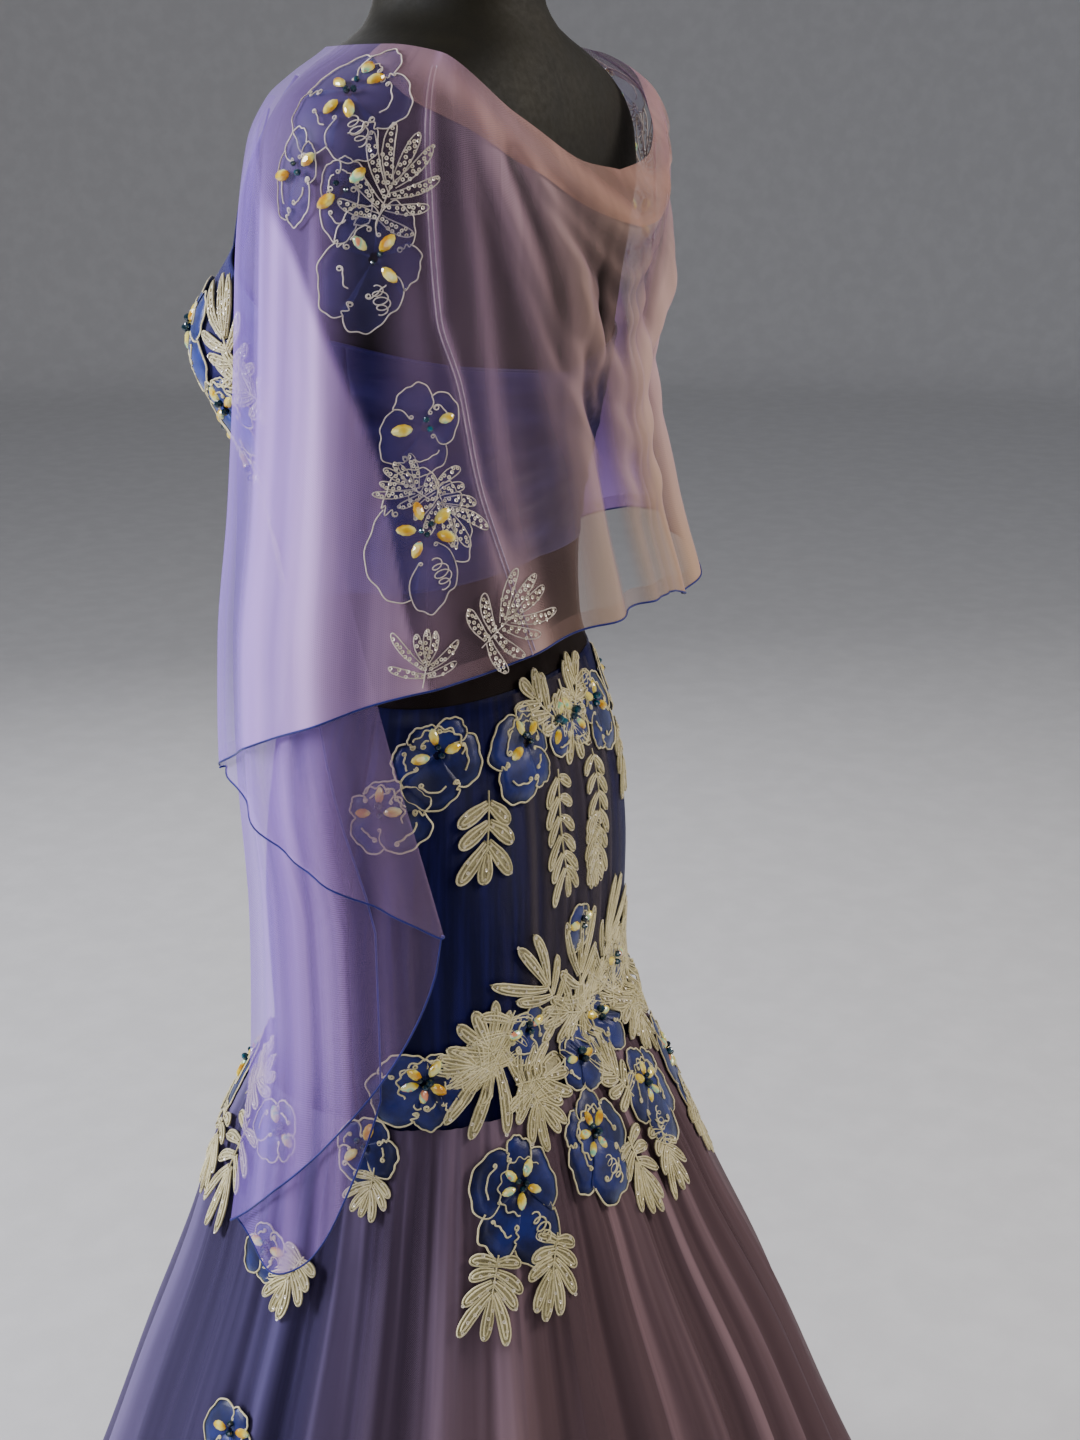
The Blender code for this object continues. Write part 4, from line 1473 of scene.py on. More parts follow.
class SequinSewing(Sewing):
    """Scatters sequins over faces, each lying nearly flat."""

    is_round = False
    density = 400000.0
    tip = 0.25
    full_turn = 6.283

    def __init__(self) -> None:
        """Makes the tree, with the sequin, the spacing and the seed as inputs."""
        super().__init__(
            "scatter_sequins",
            {
                "Sequin": "NodeSocketObject",
                "Spacing": "NodeSocketFloat",
                "Seed": "NodeSocketInt",
                "Finish": "NodeSocketMaterial",
            },
        )

    def build(self) -> None:
        """Adds the tree's nodes."""
        spots = self.node(
            "GeometryNodeDistributePointsOnFaces",
            {"distribute_method": "POISSON"},
            {
                "Mesh": self.given("Geometry"),
                "Distance Min": self.given("Spacing"),
                "Density Max": self.density,
                "Seed": self.given("Seed"),
            },
        )
        tip = self.node(
            "FunctionNodeRandomValue",
            {"data_type": "FLOAT_VECTOR"},
            {
                0: (-self.tip, -self.tip, 0.0),
                1: (self.tip, self.tip, self.full_turn),
                "Seed": self.given("Seed"),
            },
        )
        tipped = self.node("FunctionNodeEulerToRotation", None, {0: tip.outputs[0]})
        turned = self.node(
            "FunctionNodeRotateRotation",
            {"rotation_space": "LOCAL"},
            {0: spots.outputs["Rotation"], 1: tipped.outputs[0]},
        )
        sequin = self.node("GeometryNodeObjectInfo", None, {"Object": self.given("Sequin")})
        laid = self.node(
            "GeometryNodeInstanceOnPoints",
            None,
            {
                "Points": spots.outputs["Points"],
                "Instance": sequin.outputs["Geometry"],
                "Rotation": turned.outputs[0],
            },
        )
        self.end(laid.outputs[0])


def path_object(name: str, paths: Sequence[np.ndarray], closed: bool = False) -> bpy.types.Object:
    """An object with one chain of edges for each path.

    Args:
        name: The object's name.
        paths: The points of each chain.
        closed: Whether each chain is a ring.

    Returns:
        The object.
    """
    edges: list[tuple[int, int]] = []
    start = 0
    for path in paths:
        count = len(path)
        edges += [(start + k, start + k + 1) for k in range(count - 1)]
        if closed:
            edges.append((start + count - 1, start))
        start += count
    return add_mesh(name, np.concatenate(paths), [], None, edges=edges)


@cache
def cord_tree() -> CordSewing:
    """The one tree that lays every cord."""
    return CordSewing()


def cord(
    name: str, paths: Sequence[np.ndarray], radius: float, sides: int, finish: Finish, closed: bool = False
) -> bpy.types.Object:
    """Lays a round cord along paths.

    Args:
        name: The piece's name.
        paths: The cord's paths.
        radius: Its radius.
        sides: How many sides it has.
        finish: Its finish.
        closed: Whether each path is a ring.

    Returns:
        The piece.
    """
    source = path_object("cord_paths", paths, closed)
    return cord_tree().run(name, source, Radius=radius, Sides=sides, Finish=finish.material())


def marquise() -> bpy.types.Object:
    """A stone cut to a pointed oval with a flat table, one unit long, across and high.

    Returns:
        The stone.
    """
    count = 10
    turns = [2 * math.pi * k / count for k in range(count)]
    rings = ((1.0, 0.0), (1.0, 0.35), (0.80, 0.72), (0.45, 1.0))
    points = []
    for reach, height in rings:
        for turn in turns:
            across = math.copysign(abs(math.sin(turn)) ** 1.25, math.sin(turn))
            points.append((0.5 * reach * math.cos(turn), 0.5 * reach * across, height))
    return add_mesh("marquise", np.array(points), ring_faces(count, len(rings)), None)


def bead() -> bpy.types.Object:
    """A round cut bead, one unit across.

    Returns:
        The bead.
    """
    count = 8
    rings = ((0.55, 0.0), (0.92, 0.22), (1.0, 0.5), (0.80, 0.80), (0.35, 1.0))
    points = [
        (0.5 * reach * math.cos(turn), 0.5 * reach * math.sin(turn), height)
        for reach, height in rings
        for turn in (2 * math.pi * k / count for k in range(count))
    ]
    return add_mesh("bead", np.array(points), ring_faces(count, len(rings)), None)


def sequin(width: float, hole: float, height: float) -> bpy.types.Object:
    """A cupped sequin with a hole.

    Args:
        width: Its width.
        hole: The hole's width.
        height: How deep the cup is.

    Returns:
        The sequin.
    """
    count = 7
    points = []
    for reach, rise in ((0.5 * hole, 0.0), (0.5 * width, height)):
        points += [
            (reach * math.cos(2 * math.pi * k / count), reach * math.sin(2 * math.pi * k / count), rise)
            for k in range(count)
        ]
    faces = [(k, k + count, (k + 1) % count + count, (k + 1) % count) for k in range(count)]
    return add_mesh("sequin", np.array(points), faces, None)


# Appliques


class Kind(Enum):
    """What an applique shows, by the name of what it is cut from."""

    FLOWER = "petals"
    LEAF = "leaves"


class Zone(Enum):
    """Where the appliques are sewn."""

    CAPE = "cape"
    BODICE = "bodice"
    HIP = "hip"
    THIGH = "thigh"


class Side(Enum):
    """The wearer's side."""

    LEFT = 1
    RIGHT = -1


class Motif(NamedTuple):
    """One applique: its middle, its tilt in degrees, its size, whether both sides have it, and its solid."""

    zone: Zone
    kind: Kind
    angle: float
    z: float
    tilt: float
    width: float
    height: float
    both: bool = True
    solid: str = ""


def motifs(zone: Zone, *values: tuple) -> tuple[Motif, ...]:
    """Makes the motifs of one zone."""
    return tuple(Motif(zone, *row) for row in values)


F, L = Kind.FLOWER, Kind.LEAF
MOTIFS = (
    # With a solid each, as in the part's source
    *motifs(
        Zone.THIGH,
        (F, -62.0, 0.712, 0, 0.075, 0.085, True, "thigh_front"),
        (L, -38.0, 0.668, 195, 0.050, 0.090, True, "thigh_front_leaf"),
        (F, 15.0, 0.772, 0, 0.066, 0.062, True, "thigh_flower_side"),
        (L, 37.5, 0.772, 200, 0.056, 0.085, True, "thigh_leaf_side"),
        (F, 40.0, 0.688, 0, 0.070, 0.086, True, "thigh_drop"),
        (L, 33.0, 0.632, 192, 0.042, 0.056, True, "thigh_drop_leaf"),
        (L, 57.0, 0.818, -35, 0.052, 0.090, True, "thigh_leaf_high"),
        (F, 71.0, 0.700, 0, 0.066, 0.076, True, "thigh_flower_rear"),
        (L, 90.0, 0.816, 0, 0.054, 0.090, False, "thigh_leaf_rear"),
    ),
    *motifs(
        Zone.HIP,
        (F, 21.0, 1.000, 0, 0.060, 0.058, True, "hip_flower"),
        (F, 52.0, 0.994, 0, 0.056, 0.066, True, "hip_flower_rear"),
        (L, 34.0, 0.945, 186, 0.042, 0.064, True, "hip_leaf"),
        (L, 76.0, 0.925, 174, 0.034, 0.098, True, "hip_vine"),
    ),
    *motifs(
        Zone.BODICE,
        (F, -58.0, 1.268, 0, 0.080, 0.085, True, "cup_flower"),
        (L, -90.0, 1.140, 0, 0.062, 0.122, False, "bodice_leaf"),
    ),
    *motifs(
        Zone.CAPE,
        (F, 12.0, 1.330, 20, 0.056, 0.084, True, "cape_flower_high"),
        (F, 21.0, 1.165, 0, 0.062, 0.090, True, "cape_flower_low"),
    ),
    # Between them round the thighs
    *motifs(
        Zone.THIGH,
        (F, -24.0, 0.716, 10, 0.050, 0.046), (F, 4.0, 0.726, 0, 0.048, 0.046),
        (L, 35.0, 0.797, -18, 0.044, 0.056), (L, 28.0, 0.780, -62, 0.040, 0.050),
        (F, 51.0, 0.788, 15, 0.040, 0.042), (L, 55.0, 0.757, 100, 0.044, 0.052),
        (L, 50.0, 0.737, 150, 0.040, 0.046), (L, 76.0, 0.789, -66, 0.042, 0.060),
        (F, 77.0, 0.753, 0, 0.050, 0.046, False), (F, 86.0, 0.846, 20, 0.038, 0.040, False),
        (L, 91.0, 0.738, -25, 0.036, 0.062, False), (F, 103.0, 0.762, 0, 0.044, 0.046, False),
        (L, 87.0, 0.664, 172, 0.044, 0.056, False), (L, 104.0, 0.656, 186, 0.040, 0.050, False),
        (L, 126.0, 0.790, 30, 0.042, 0.062, False), (L, 47.0, 0.637, -162, 0.038, 0.054),
        (L, 5.0, 0.700, -165, 0.034, 0.034), (F, -18.0, 0.636, 0, 0.040, 0.040),
        (L, -10.0, 0.622, 200, 0.034, 0.050), (F, -16.0, 0.512, 0, 0.048, 0.046),
        (L, -50.0, 0.664, 175, 0.044, 0.066), (L, -36.0, 0.742, 40, 0.042, 0.056),
        (L, -78.0, 0.752, 25, 0.044, 0.062), (L, -76.0, 0.656, 186, 0.042, 0.056),
        (F, -90.0, 0.700, 0, 0.054, 0.058, False),
    ),
    # On the hips and down the middle of the back
    *motifs(
        Zone.HIP,
        (F, 8.0, 0.966, 0, 0.058, 0.050), (L, 72.0, 1.020, -40, 0.036, 0.058),
        (F, 80.0, 0.998, 0, 0.036, 0.040), (L, 96.0, 1.000, 172, 0.036, 0.060, False),
        (L, 104.0, 0.900, 176, 0.026, 0.060, False),
    ),
    # Over the cups and down the front of the bodice
    *motifs(
        Zone.BODICE,
        (F, -43.0, 1.218, 0, 0.056, 0.056), (L, -40.0, 1.280, -22, 0.050, 0.078),
        (L, -34.0, 1.245, 300, 0.036, 0.056), (F, -47.0, 1.172, 0, 0.050, 0.052),
        (F, -64.0, 1.196, 20, 0.060, 0.060), (F, -79.0, 1.232, 0, 0.052, 0.056),
        (L, -74.0, 1.286, 20, 0.044, 0.064), (L, -54.0, 1.128, 170, 0.044, 0.074),
        (F, -70.0, 1.122, 0, 0.054, 0.058), (L, -78.0, 1.068, 165, 0.038, 0.060),
    ),
    # Down the arm of the cape
    *motifs(
        Zone.CAPE,
        (F, 7.0, 1.424, 0, 0.076, 0.066), (F, -2.0, 1.380, 10, 0.032, 0.062),
        (F, 8.0, 1.370, 0, 0.032, 0.054), (L, 17.5, 1.381, 27, 0.048, 0.058),
        (F, 20.5, 1.232, 10, 0.046, 0.058), (L, 18.5, 1.200, -53, 0.030, 0.034),
        (L, 27.0, 1.182, 150, 0.034, 0.048), (L, 39.5, 1.112, 58, 0.048, 0.054, False),
        (L, 22.0, 1.096, 0, 0.044, 0.036, False),
    ),
)
GROUNDS: dict[Zone, tuple[RadiusAt, float]] = {
    Zone.CAPE: (cape_radius, CAPE_LIFT),
    Zone.BODICE: (cover_radius, 0.0),
    Zone.HIP: (cover_radius, 0.0),
    Zone.THIGH: (cover_radius, 0.0),
}


@dataclass(frozen=True)
class Patch:
    """Maps a motif's own flat drawing onto the cloth that carries it."""

    motif: Motif
    side: Side
    reach: float = 0.001

    def lay(self, drawing: np.ndarray, height: Number) -> np.ndarray:
        """Lays a drawing on the cloth.

        Args:
            drawing: Points across and up from the motif's middle, in metres.
            height: How far each stands off the cloth.

        Returns:
            The points in space.
        """
        radius_at, lift = GROUNDS[self.motif.zone]
        tilt = math.radians(self.motif.tilt)
        across, up = drawing[..., 0], drawing[..., 1]
        base = float(self._radius(radius_at, self.motif.angle, self.motif.z))
        turned = across * math.cos(tilt) + up * math.sin(tilt)
        angle = self.motif.angle + np.degrees(turned / base)
        z = self.motif.z + up * math.cos(tilt) - across * math.sin(tilt)
        radius = self._radius(radius_at, angle, z) + lift + height
        return polar(angle, radius, z) * np.array([float(self.side.value), 1.0, 1.0])

    def _radius(self, radius_at: RadiusAt, angle: Number, z: Number) -> np.ndarray:
        """The cloth's distance from the axis, on the motif's side."""
        return radius_at(angle if self.side is Side.LEFT else 180.0 - np.asarray(angle), z)

    def frame_at(self, spot: np.ndarray, heading: float, height: float) -> tuple[np.ndarray, tuple]:
        """Where a stone sits and how it is turned.

        Args:
            spot: Its place in the drawing.
            heading: The direction of its length there, in radians.
            height: How far it stands off the cloth.

        Returns:
            The place, and the turn as Euler angles.
        """
        ahead = spot + self.reach * np.array([math.cos(heading), math.sin(heading)])
        aside = spot + self.reach * np.array([-math.sin(heading), math.cos(heading)])
        place, front, left = (Vector(p) for p in self.lay(np.array([spot, ahead, aside]), height))
        along = (front - place).normalized()
        normal = along.cross(left - place).normalized() * float(self.side.value)
        turn = Matrix((along, normal.cross(along), normal)).transposed()
        return np.array(place), tuple(turn.to_euler())


@dataclass
class Workbasket:
    """What the motifs of one zone and side are made of, gathered before it is sewn."""

    points: dict[Kind, list[np.ndarray]] = field(default_factory=lambda: {kind: [] for kind in Kind})
    faces: dict[Kind, list[tuple]] = field(default_factory=lambda: {kind: [] for kind in Kind})
    cords: list[np.ndarray] = field(default_factory=list)
    stones: list[tuple] = field(default_factory=list)
    beads: list[tuple] = field(default_factory=list)

    def add(self, patch: Patch, drawing: np.ndarray, *heights: Number) -> None:
        """Adds a grid of points as an open layer, or as a thin closed pad.

        Args:
            patch: Where it goes.
            drawing: Its points in the motif's drawing, in rows and columns.
            *heights: How far it stands off the cloth and, for a pad, how far its underside does.
        """
        faces = (walled_faces if len(heights) > 1 else grid_faces)(*drawing.shape[:2])
        points = self.points[patch.motif.kind]
        start = sum(len(added) for added in points)
        way = -1 if patch.side is Side.RIGHT else 1
        points += [patch.lay(drawing, height).reshape(-1, 3) for height in heights]
        self.faces[patch.motif.kind] += [tuple(k + start for k in face[::way]) for face in faces]


# How many points a curl has for each turn, and how much smaller it gets
CURL_POINTS = 9
CURL_SHRINK = 0.45


def with_curl(path: np.ndarray, size: float, turns: float, side: float) -> np.ndarray:
    """Ends a cord's path in a small curl.

    Args:
        path: The path in the motif's drawing.
        size: The curl's radius.
        turns: How many times it goes round.
        side: 1 where it curls to the left, -1 to the right.

    Returns:
        The longer path.
    """
    ahead = path[-1] - path[-2]
    ahead = ahead / max(float(np.linalg.norm(ahead)), 1e-9)
    aside = side * np.array([-ahead[1], ahead[0]])
    t = np.linspace(0.0, 1.0, int(CURL_POINTS * turns) + 2)[1:, None]
    swing = 2 * math.pi * turns * t
    radius = size * (1 - CURL_SHRINK * t)
    curl = path[-1] + ahead * radius * np.sin(swing) + aside * (size - radius * np.cos(swing))
    return np.concatenate([path, curl])


# How far round the heart so many stones stand, in degrees
ROSETTE_ARCS = {2: 165.0, 3: 170.0, 5: 265.0}


class Lobe(NamedTuple):
    """One petal's sector, clockwise from up, how deep the notches at its ends are and how far it reaches."""

    start: float
    end: float
    first_notch: float
    last_notch: float
    reach: float


@dataclass
class Flower:
    """A flower of broad lobes edged with cord that curls in between them, round a rosette of stones."""

    patch: Patch
    basket: Workbasket
    rng: np.random.Generator
    rows: int = 5
    columns: int = 13
    dome: float = 0.0014
    film: float = 0.0004
    petal_step: float = 0.00025
    cord_height: float = 0.0009
    overlap: float = 5.0
    stone: tuple[float, float, float] = (0.0128, 0.0072, 0.0034)
    bead: float = 0.0058
    off_centre: float = 0.30
    small: float = 0.024
    middling: float = 0.030
    large: float = 0.033
    arc_chance: float = 0.75
    arc_curl: tuple[float, float] = (0.0011, 0.0018)
    long_chance: float = 0.55
    long_curl: float = 0.0012
    short_curl: float = 0.0016
    loops: int = 4
    loop: float = 0.0016
    stone_far: tuple[float, float] = (0.0098, 0.0116)
    bead_far: float = 0.0024
    bead_step: float = 0.0022
    ring: float = 0.0172
    ring_wave: float = 0.0011

    def sew(self) -> None:
        """Adds the flower's petals, cords and stones to the basket."""
        self.half = np.array([self.patch.motif.width, self.patch.motif.height]) / 2
        lean = self.rng.uniform(-1.2, 1.2)
        self.heart = self.off_centre * self.rng.uniform(0.4, 1.0) * np.array([math.sin(lean), math.cos(lean)])
        lobes = self._lobes()
        lowest = np.argmax([-math.cos(math.radians(lobe.start + lobe.end) / 2) for lobe in lobes])
        for k, lobe in enumerate(lobes):
            self._petal(lobe, self.petal_step * k)
            if k == lowest and float(self.half.max()) > self.large:
                self._script(lobe)
        self._rosette()

    def _lobes(self) -> list[Lobe]:
        """Shares the flower's round out among its petals.

        Returns:
            The petals' sectors.
        """
        count = 4 if float(self.half.min()) < self.small else 5
        widths = self.rng.uniform(0.65, 1.35, count)
        shares = np.concatenate([[0.0], np.cumsum(widths / widths.sum() * 360.0)])
        bounds = self.rng.uniform(0.0, 360.0) + shares
        notches = self.rng.uniform(0.10, 0.28, count)
        return [
            Lobe(bounds[k], bounds[k + 1], notches[k], notches[(k + 1) % count], self.rng.uniform(0.92, 1.03))
            for k in range(count)
        ]

    def _either(self) -> float:
        """Draws 1 or -1."""
        return float(self.rng.choice([1, -1]))

    def _cord(self, path: np.ndarray, height: float) -> None:
        """Lays a cord's path on the cloth."""
        self.basket.cords.append(self.patch.lay(path, height))

    def _place(self, lobe: Lobe, share: Number, u: Number, reach: Number) -> np.ndarray:
        """Points of a petal in the flower's drawing.

        Args:
            lobe: The petal.
            share: How far out the points lie, 1 at the edge.
            u: Where they lie across the petal, from -1 to 1.
            reach: How far the edge reaches there, as a share of the flower's oval.

        Returns:
            The points.
        """
        heart = self.heart
        turn = np.radians((lobe.start + lobe.end) / 2 + u * ((lobe.end - lobe.start) / 2))
        along = heart[0] * np.sin(turn) + heart[1] * np.cos(turn)
        far = share * reach * (np.sqrt(along**2 + 1 - float(heart @ heart)) - along)
        return (heart + np.stack([far * np.sin(turn), far * np.cos(turn)], axis=-1)) * self.half

    @staticmethod
    def _edge(lobe: Lobe, u: np.ndarray, frill: np.ndarray) -> np.ndarray:
        """How far a petal's edge reaches, with its notches and frills.

        Args:
            lobe: The petal.
            u: Places across it, from -1 to 1.
            frill: Where each of its three frills starts.

        Returns:
            The reach, as a share of the flower's oval.
        """
        notch = lobe.first_notch + (lobe.last_notch - lobe.first_notch) * (u + 1) / 2
        waves = 0.030 * np.sin(3.3 * u + frill[0]) + 0.022 * np.sin(7.1 * u + frill[1])
        edge = lobe.reach * (1 - notch * np.abs(np.clip(u, -1, 1)) ** 3.2)
        return edge + (waves + 0.012 * np.sin(15.0 * u + frill[2])) * (1 - np.clip(np.abs(u), 0, 1) ** 6)

    def _petal(self, lobe: Lobe, layer: float) -> None:
        """Adds one petal, the cord round its edge and an arc of cord inside it.

        Args:
            lobe: The petal.
            layer: How far it lies above the lowest one.
        """
        frill = self.rng.uniform(0.0, 6.0, 3)
        room = 1 + 2 * self.overlap / (lobe.end - lobe.start)
        across = np.linspace(-room, room, self.columns)
        out = np.linspace(0.10, 1.0, self.rows)[:, None]
        drawing = self._place(lobe, out, across, self._edge(lobe, across, frill))
        lift = layer + self.dome * np.sin(math.pi * out) * (1 - 0.5 * np.clip(across, -1, 1) ** 2)
        self.basket.add(self.patch, drawing, lift + self.film, lift)
        fine = np.linspace(-1.0, 1.0, 3 * self.columns)
        rim = self._place(lobe, 1.0, fine, self._edge(lobe, fine, frill))
        self._cord(np.concatenate([self._division(lobe)[::-1], rim]), layer + self.cord_height)
        if self.rng.random() < self.arc_chance:
            reach = np.linspace(-0.65, self.rng.uniform(0.1, 0.6), 18)[:: int(self._either())]
            arc = self._place(lobe, self.rng.uniform(0.52, 0.72), reach, self._edge(lobe, reach, frill))
            arc = with_curl(arc, self.rng.uniform(*self.arc_curl), 1.4, self._either())
            self._cord(arc, layer + self.cord_height + self.dome * 0.8)

    def _division(self, lobe: Lobe) -> np.ndarray:
        """The cord between two petals: a long line towards the heart, or a short one that wriggles.

        Args:
            lobe: The petal that the line lies in front of.

        Returns:
            The cord's path in the flower's drawing, with a curl at its end.
        """
        if self.rng.random() < self.long_chance:
            t = np.linspace(0.0, 1.0, 10)
            share = 1 - t * self.rng.uniform(0.40, 0.62)
            sway = -1 + 0.16 * np.sin(math.pi * t) * self._either()
            size = self.long_curl
        else:
            t = np.linspace(0.0, 1.0, 13)
            share = 1 - 0.24 * t
            sway = -1 + 0.10 * np.sin(3 * math.pi * t)
            size = self.short_curl
        line = self._place(lobe, share, sway, lobe.reach * (1 - lobe.first_notch))
        return with_curl(line, size, 1.3, self._either())

    def _script(self, lobe: Lobe) -> None:
        """Adds a run of small loops, as in handwriting, down a large petal.

        Args:
            lobe: The petal.
        """
        t = np.linspace(0.0, 1.0, 60)
        line = self._place(lobe, 0.40 + 0.42 * t, 0.10 * np.sin(5 * t), lobe.reach)
        ahead = line[-1] - line[0]
        ahead = ahead / np.linalg.norm(ahead)
        aside = np.array([-ahead[1], ahead[0]])
        swing = (2 * math.pi * self.loops * t)[:, None]
        size = (self.loop + self.loop * np.sin(math.pi * t) ** 2)[:, None]
        loops = line - ahead * size * np.sin(swing) + aside * size * (1 - np.cos(swing)) * 1.5
        self._cord(loops, self.cord_height + self.dome)

    def _set(self, stones: list[tuple], heading: float, far: float, height: float, size: np.ndarray) -> None:
        """Sets a stone or a bead beside the flower's heart.

        Args:
            stones: The list that it goes in.
            heading: Its direction from the heart, in radians.
            far: Its distance from the heart.
            height: How far it stands off the cloth.
            size: Its length, width and height.
        """
        spot = self.heart * self.half + np.array([math.cos(heading), math.sin(heading)]) * far
        place, turn = self.patch.frame_at(spot, heading, height)
        stones.append((place, turn, size))

    def _rosette(self) -> None:
        """Adds the stones, dark beads and looped cord in the flower's heart."""
        on_cape = self.patch.motif.zone is Zone.CAPE
        room = float(self.half.min())
        count = 2 if room < self.small else 3 if room < self.middling else 5
        first = self.rng.uniform(-0.4, 1.2)
        arc = math.radians(ROSETTE_ARCS[count])
        for k in range(count):
            heading = first + arc * k / (count - 1) + self.rng.uniform(-0.15, 0.15)
            far = self.rng.uniform(*self.stone_far) * (1.15 if on_cape else 1.0)
            size = np.array(self.stone) * self.rng.uniform(0.88, 1.10)
            self._set(self.basket.stones, heading, far, self.dome * 0.8, size)
        for k in range(2 if room < self.middling else 3):
            size = np.full(3, self.bead * self.rng.uniform(0.75, 1.1) * (0.7 if on_cape else 1.0))
            far = self.bead_far + self.bead_step * (k % 2)
            self._set(self.basket.beads, first - 0.9 + 2.2 * k, far, self.dome * 0.9, size)
        if count > 2 and not on_cape:
            turn = np.linspace(first - 0.5, first + arc * 0.75, 70)
            far = self.ring + self.ring_wave * np.sin(turn * 13.0)
            ring = self.heart * self.half + np.stack([np.cos(turn), np.sin(turn)], axis=-1) * far[:, None]
            self._cord(ring, self.cord_height + self.dome)


class Finger(NamedTuple):
    """One finger of a leaf: where it starts on the vein, its side, lean, length and half its breadth."""

    along: float
    side: int
    lean: float
    length: float
    half: float


class LeafCut(NamedTuple):
    """How a leaf's fingers stand: where the pairs start, their lean, half their breadth and their bow."""

    roots: tuple[float, ...]
    leans: tuple[float, ...]
    tip: float
    half: float
    bow: float


HAND = LeafCut((0.10, 0.20, 0.31, 0.41), (92.0, 68.0, 45.0, 22.0), 0.46, 0.0042, 0.25)
OAK = LeafCut((0.14, 0.34, 0.54), (54.0, 46.0, 38.0), 0.66, 0.0058, 0.10)
VINE = LeafCut((0.06, 0.20, 0.34, 0.48, 0.62, 0.74), (50.0, 48.0, 44.0, 40.0, 36.0, 30.0), 0.80, 0.0040, 0.30)


@dataclass
class Leaf:
    """A leaf of fat rounded fingers that fan out from a short vein, covered with looped cord."""

    patch: Patch
    basket: Workbasket
    rng: np.random.Generator
    grid: tuple[int, int] = (7, 5)
    bed_grid: tuple[int, int] = (5, 3)
    relief: float = 0.0013
    film: float = 0.0004
    vine_from: float = 1.9
    small: float = 0.045
    slim: float = 0.085
    slim_on_cape: float = 0.85
    stray: float = 7.0
    tip_stray: float = 6.0

    def __post_init__(self) -> None:
        """Chooses the leaf's cut and draws its vein and fingers: lobed on the hips, else fanned or a vine."""
        motif = self.patch.motif
        self.height = motif.height
        if self.height > self.vine_from * motif.width:
            self.cut = VINE
            self.bend = 0.07 * self.height * float(self.rng.choice([1, -1]))
        else:
            self.cut = OAK if motif.zone is Zone.HIP else HAND
            self.bend = self.rng.uniform(-0.10, 0.10) * self.height
        self.fingers = self._fingers(motif)

    def _fingers(self, motif: Motif) -> list[Finger]:
        """Draws the leaf's fingers.

        Args:
            motif: The leaf's motif.

        Returns:
            The fingers, from the leaf's foot to its tip.
        """
        cut = self.cut
        half = min(cut.half, self.slim * self.height)
        half *= self.slim_on_cape if motif.zone is Zone.CAPE else 1.0
        skipped = 1 if self.height < self.small and len(cut.roots) > 3 else 0
        found = []
        for along, lean in list(zip(cut.roots, cut.leans))[skipped:]:
            for side in (-1, 1):
                turn = lean + self.rng.uniform(-self.stray, self.stray)
                reach = 0.5 * motif.width / max(math.sin(math.radians(turn)), 0.4)
                room = (0.98 - along) * self.height / max(math.cos(math.radians(turn)), 0.3)
                found.append(Finger(along, side, turn, min(reach, room) * self.rng.uniform(0.86, 1.06), half))
        length = (1 - cut.tip) * self.height * self.rng.uniform(0.95, 1.05)
        turn = self.rng.uniform(-self.tip_stray, self.tip_stray)
        found.append(Finger(cut.tip, 0, turn, length, half))
        return found

    def sew(self) -> None:
        """Adds the leaf's fingers and cords to the basket; on the cape it has cords alone."""
        flat_only = self.patch.motif.zone is Zone.CAPE
        for finger in self.fingers:
            if not flat_only:
                drawing, lift = self._pad(finger, 1.0, self.grid)
                self.basket.add(self.patch, drawing, lift + self.film, 0.0)
            for share, rise in ((0.90, 0.50), (0.38, 1.05))[: 1 if flat_only else 2]:
                self._cord(self._loop(finger, share), self.relief * rise + self.film)
        vein = np.array([self._vein(t) for t in np.linspace(0.0, self.cut.tip, 16)])
        self._cord(vein, self.relief + self.film)

    def spread(self) -> None:
        """Adds the upper faces of the fingers alone, for sequins to lie on."""
        for finger in self.fingers:
            drawing, lift = self._pad(finger, 0.80, self.bed_grid)
            self.basket.add(self.patch, drawing, lift + 2.5 * self.film)

    def _cord(self, path: np.ndarray, height: float) -> None:
        """Lays a cord's path on the cloth."""
        self.basket.cords.append(self.patch.lay(path, height))

    def _vein(self, along: float) -> np.ndarray:
        """A point on the vein, from the leaf's foot at 0 to its tip at 1."""
        return np.array([self.bend * math.sin(math.pi * along), (along - 0.5) * self.height])

    def _axis(self, finger: Finger, t: np.ndarray) -> tuple[np.ndarray, np.ndarray]:
        """The line down a finger's middle, which bows towards the leaf's tip.

        Args:
            finger: The finger.
            t: Places along it, from 0 to 1.

        Returns:
            The points, and the direction aside.
        """
        turn = math.radians(90.0 - finger.side * finger.lean)
        ahead = np.array([math.cos(turn), math.sin(turn)])
        aside = np.array([-ahead[1], ahead[0]])
        sway = self.cut.bow * finger.side * finger.length * (t**2 - t)
        root = self._vein(finger.along)
        return root + (t * finger.length)[..., None] * ahead + sway[..., None] * aside, aside

    def _pad(self, finger: Finger, share: float, grid: tuple[int, int]) -> tuple[np.ndarray, np.ndarray]:
        """A finger as a grid of points in the leaf's drawing.

        Args:
            finger: The finger.
            share: How much of its breadth is covered.
            grid: How many points long and wide.

        Returns:
            The points, and how far each is raised.
        """
        t = np.linspace(0.0, 1.0, grid[0])[:, None]
        c = np.linspace(1.0, -1.0, grid[1])[None, :] * share
        middle, aside = self._axis(finger, t)
        drawing = middle + (finger.half * self._swell(t) * c)[..., None] * aside
        return drawing, self.relief * (1 - 0.85 * c**2) * (0.35 + 0.65 * self._swell(t))

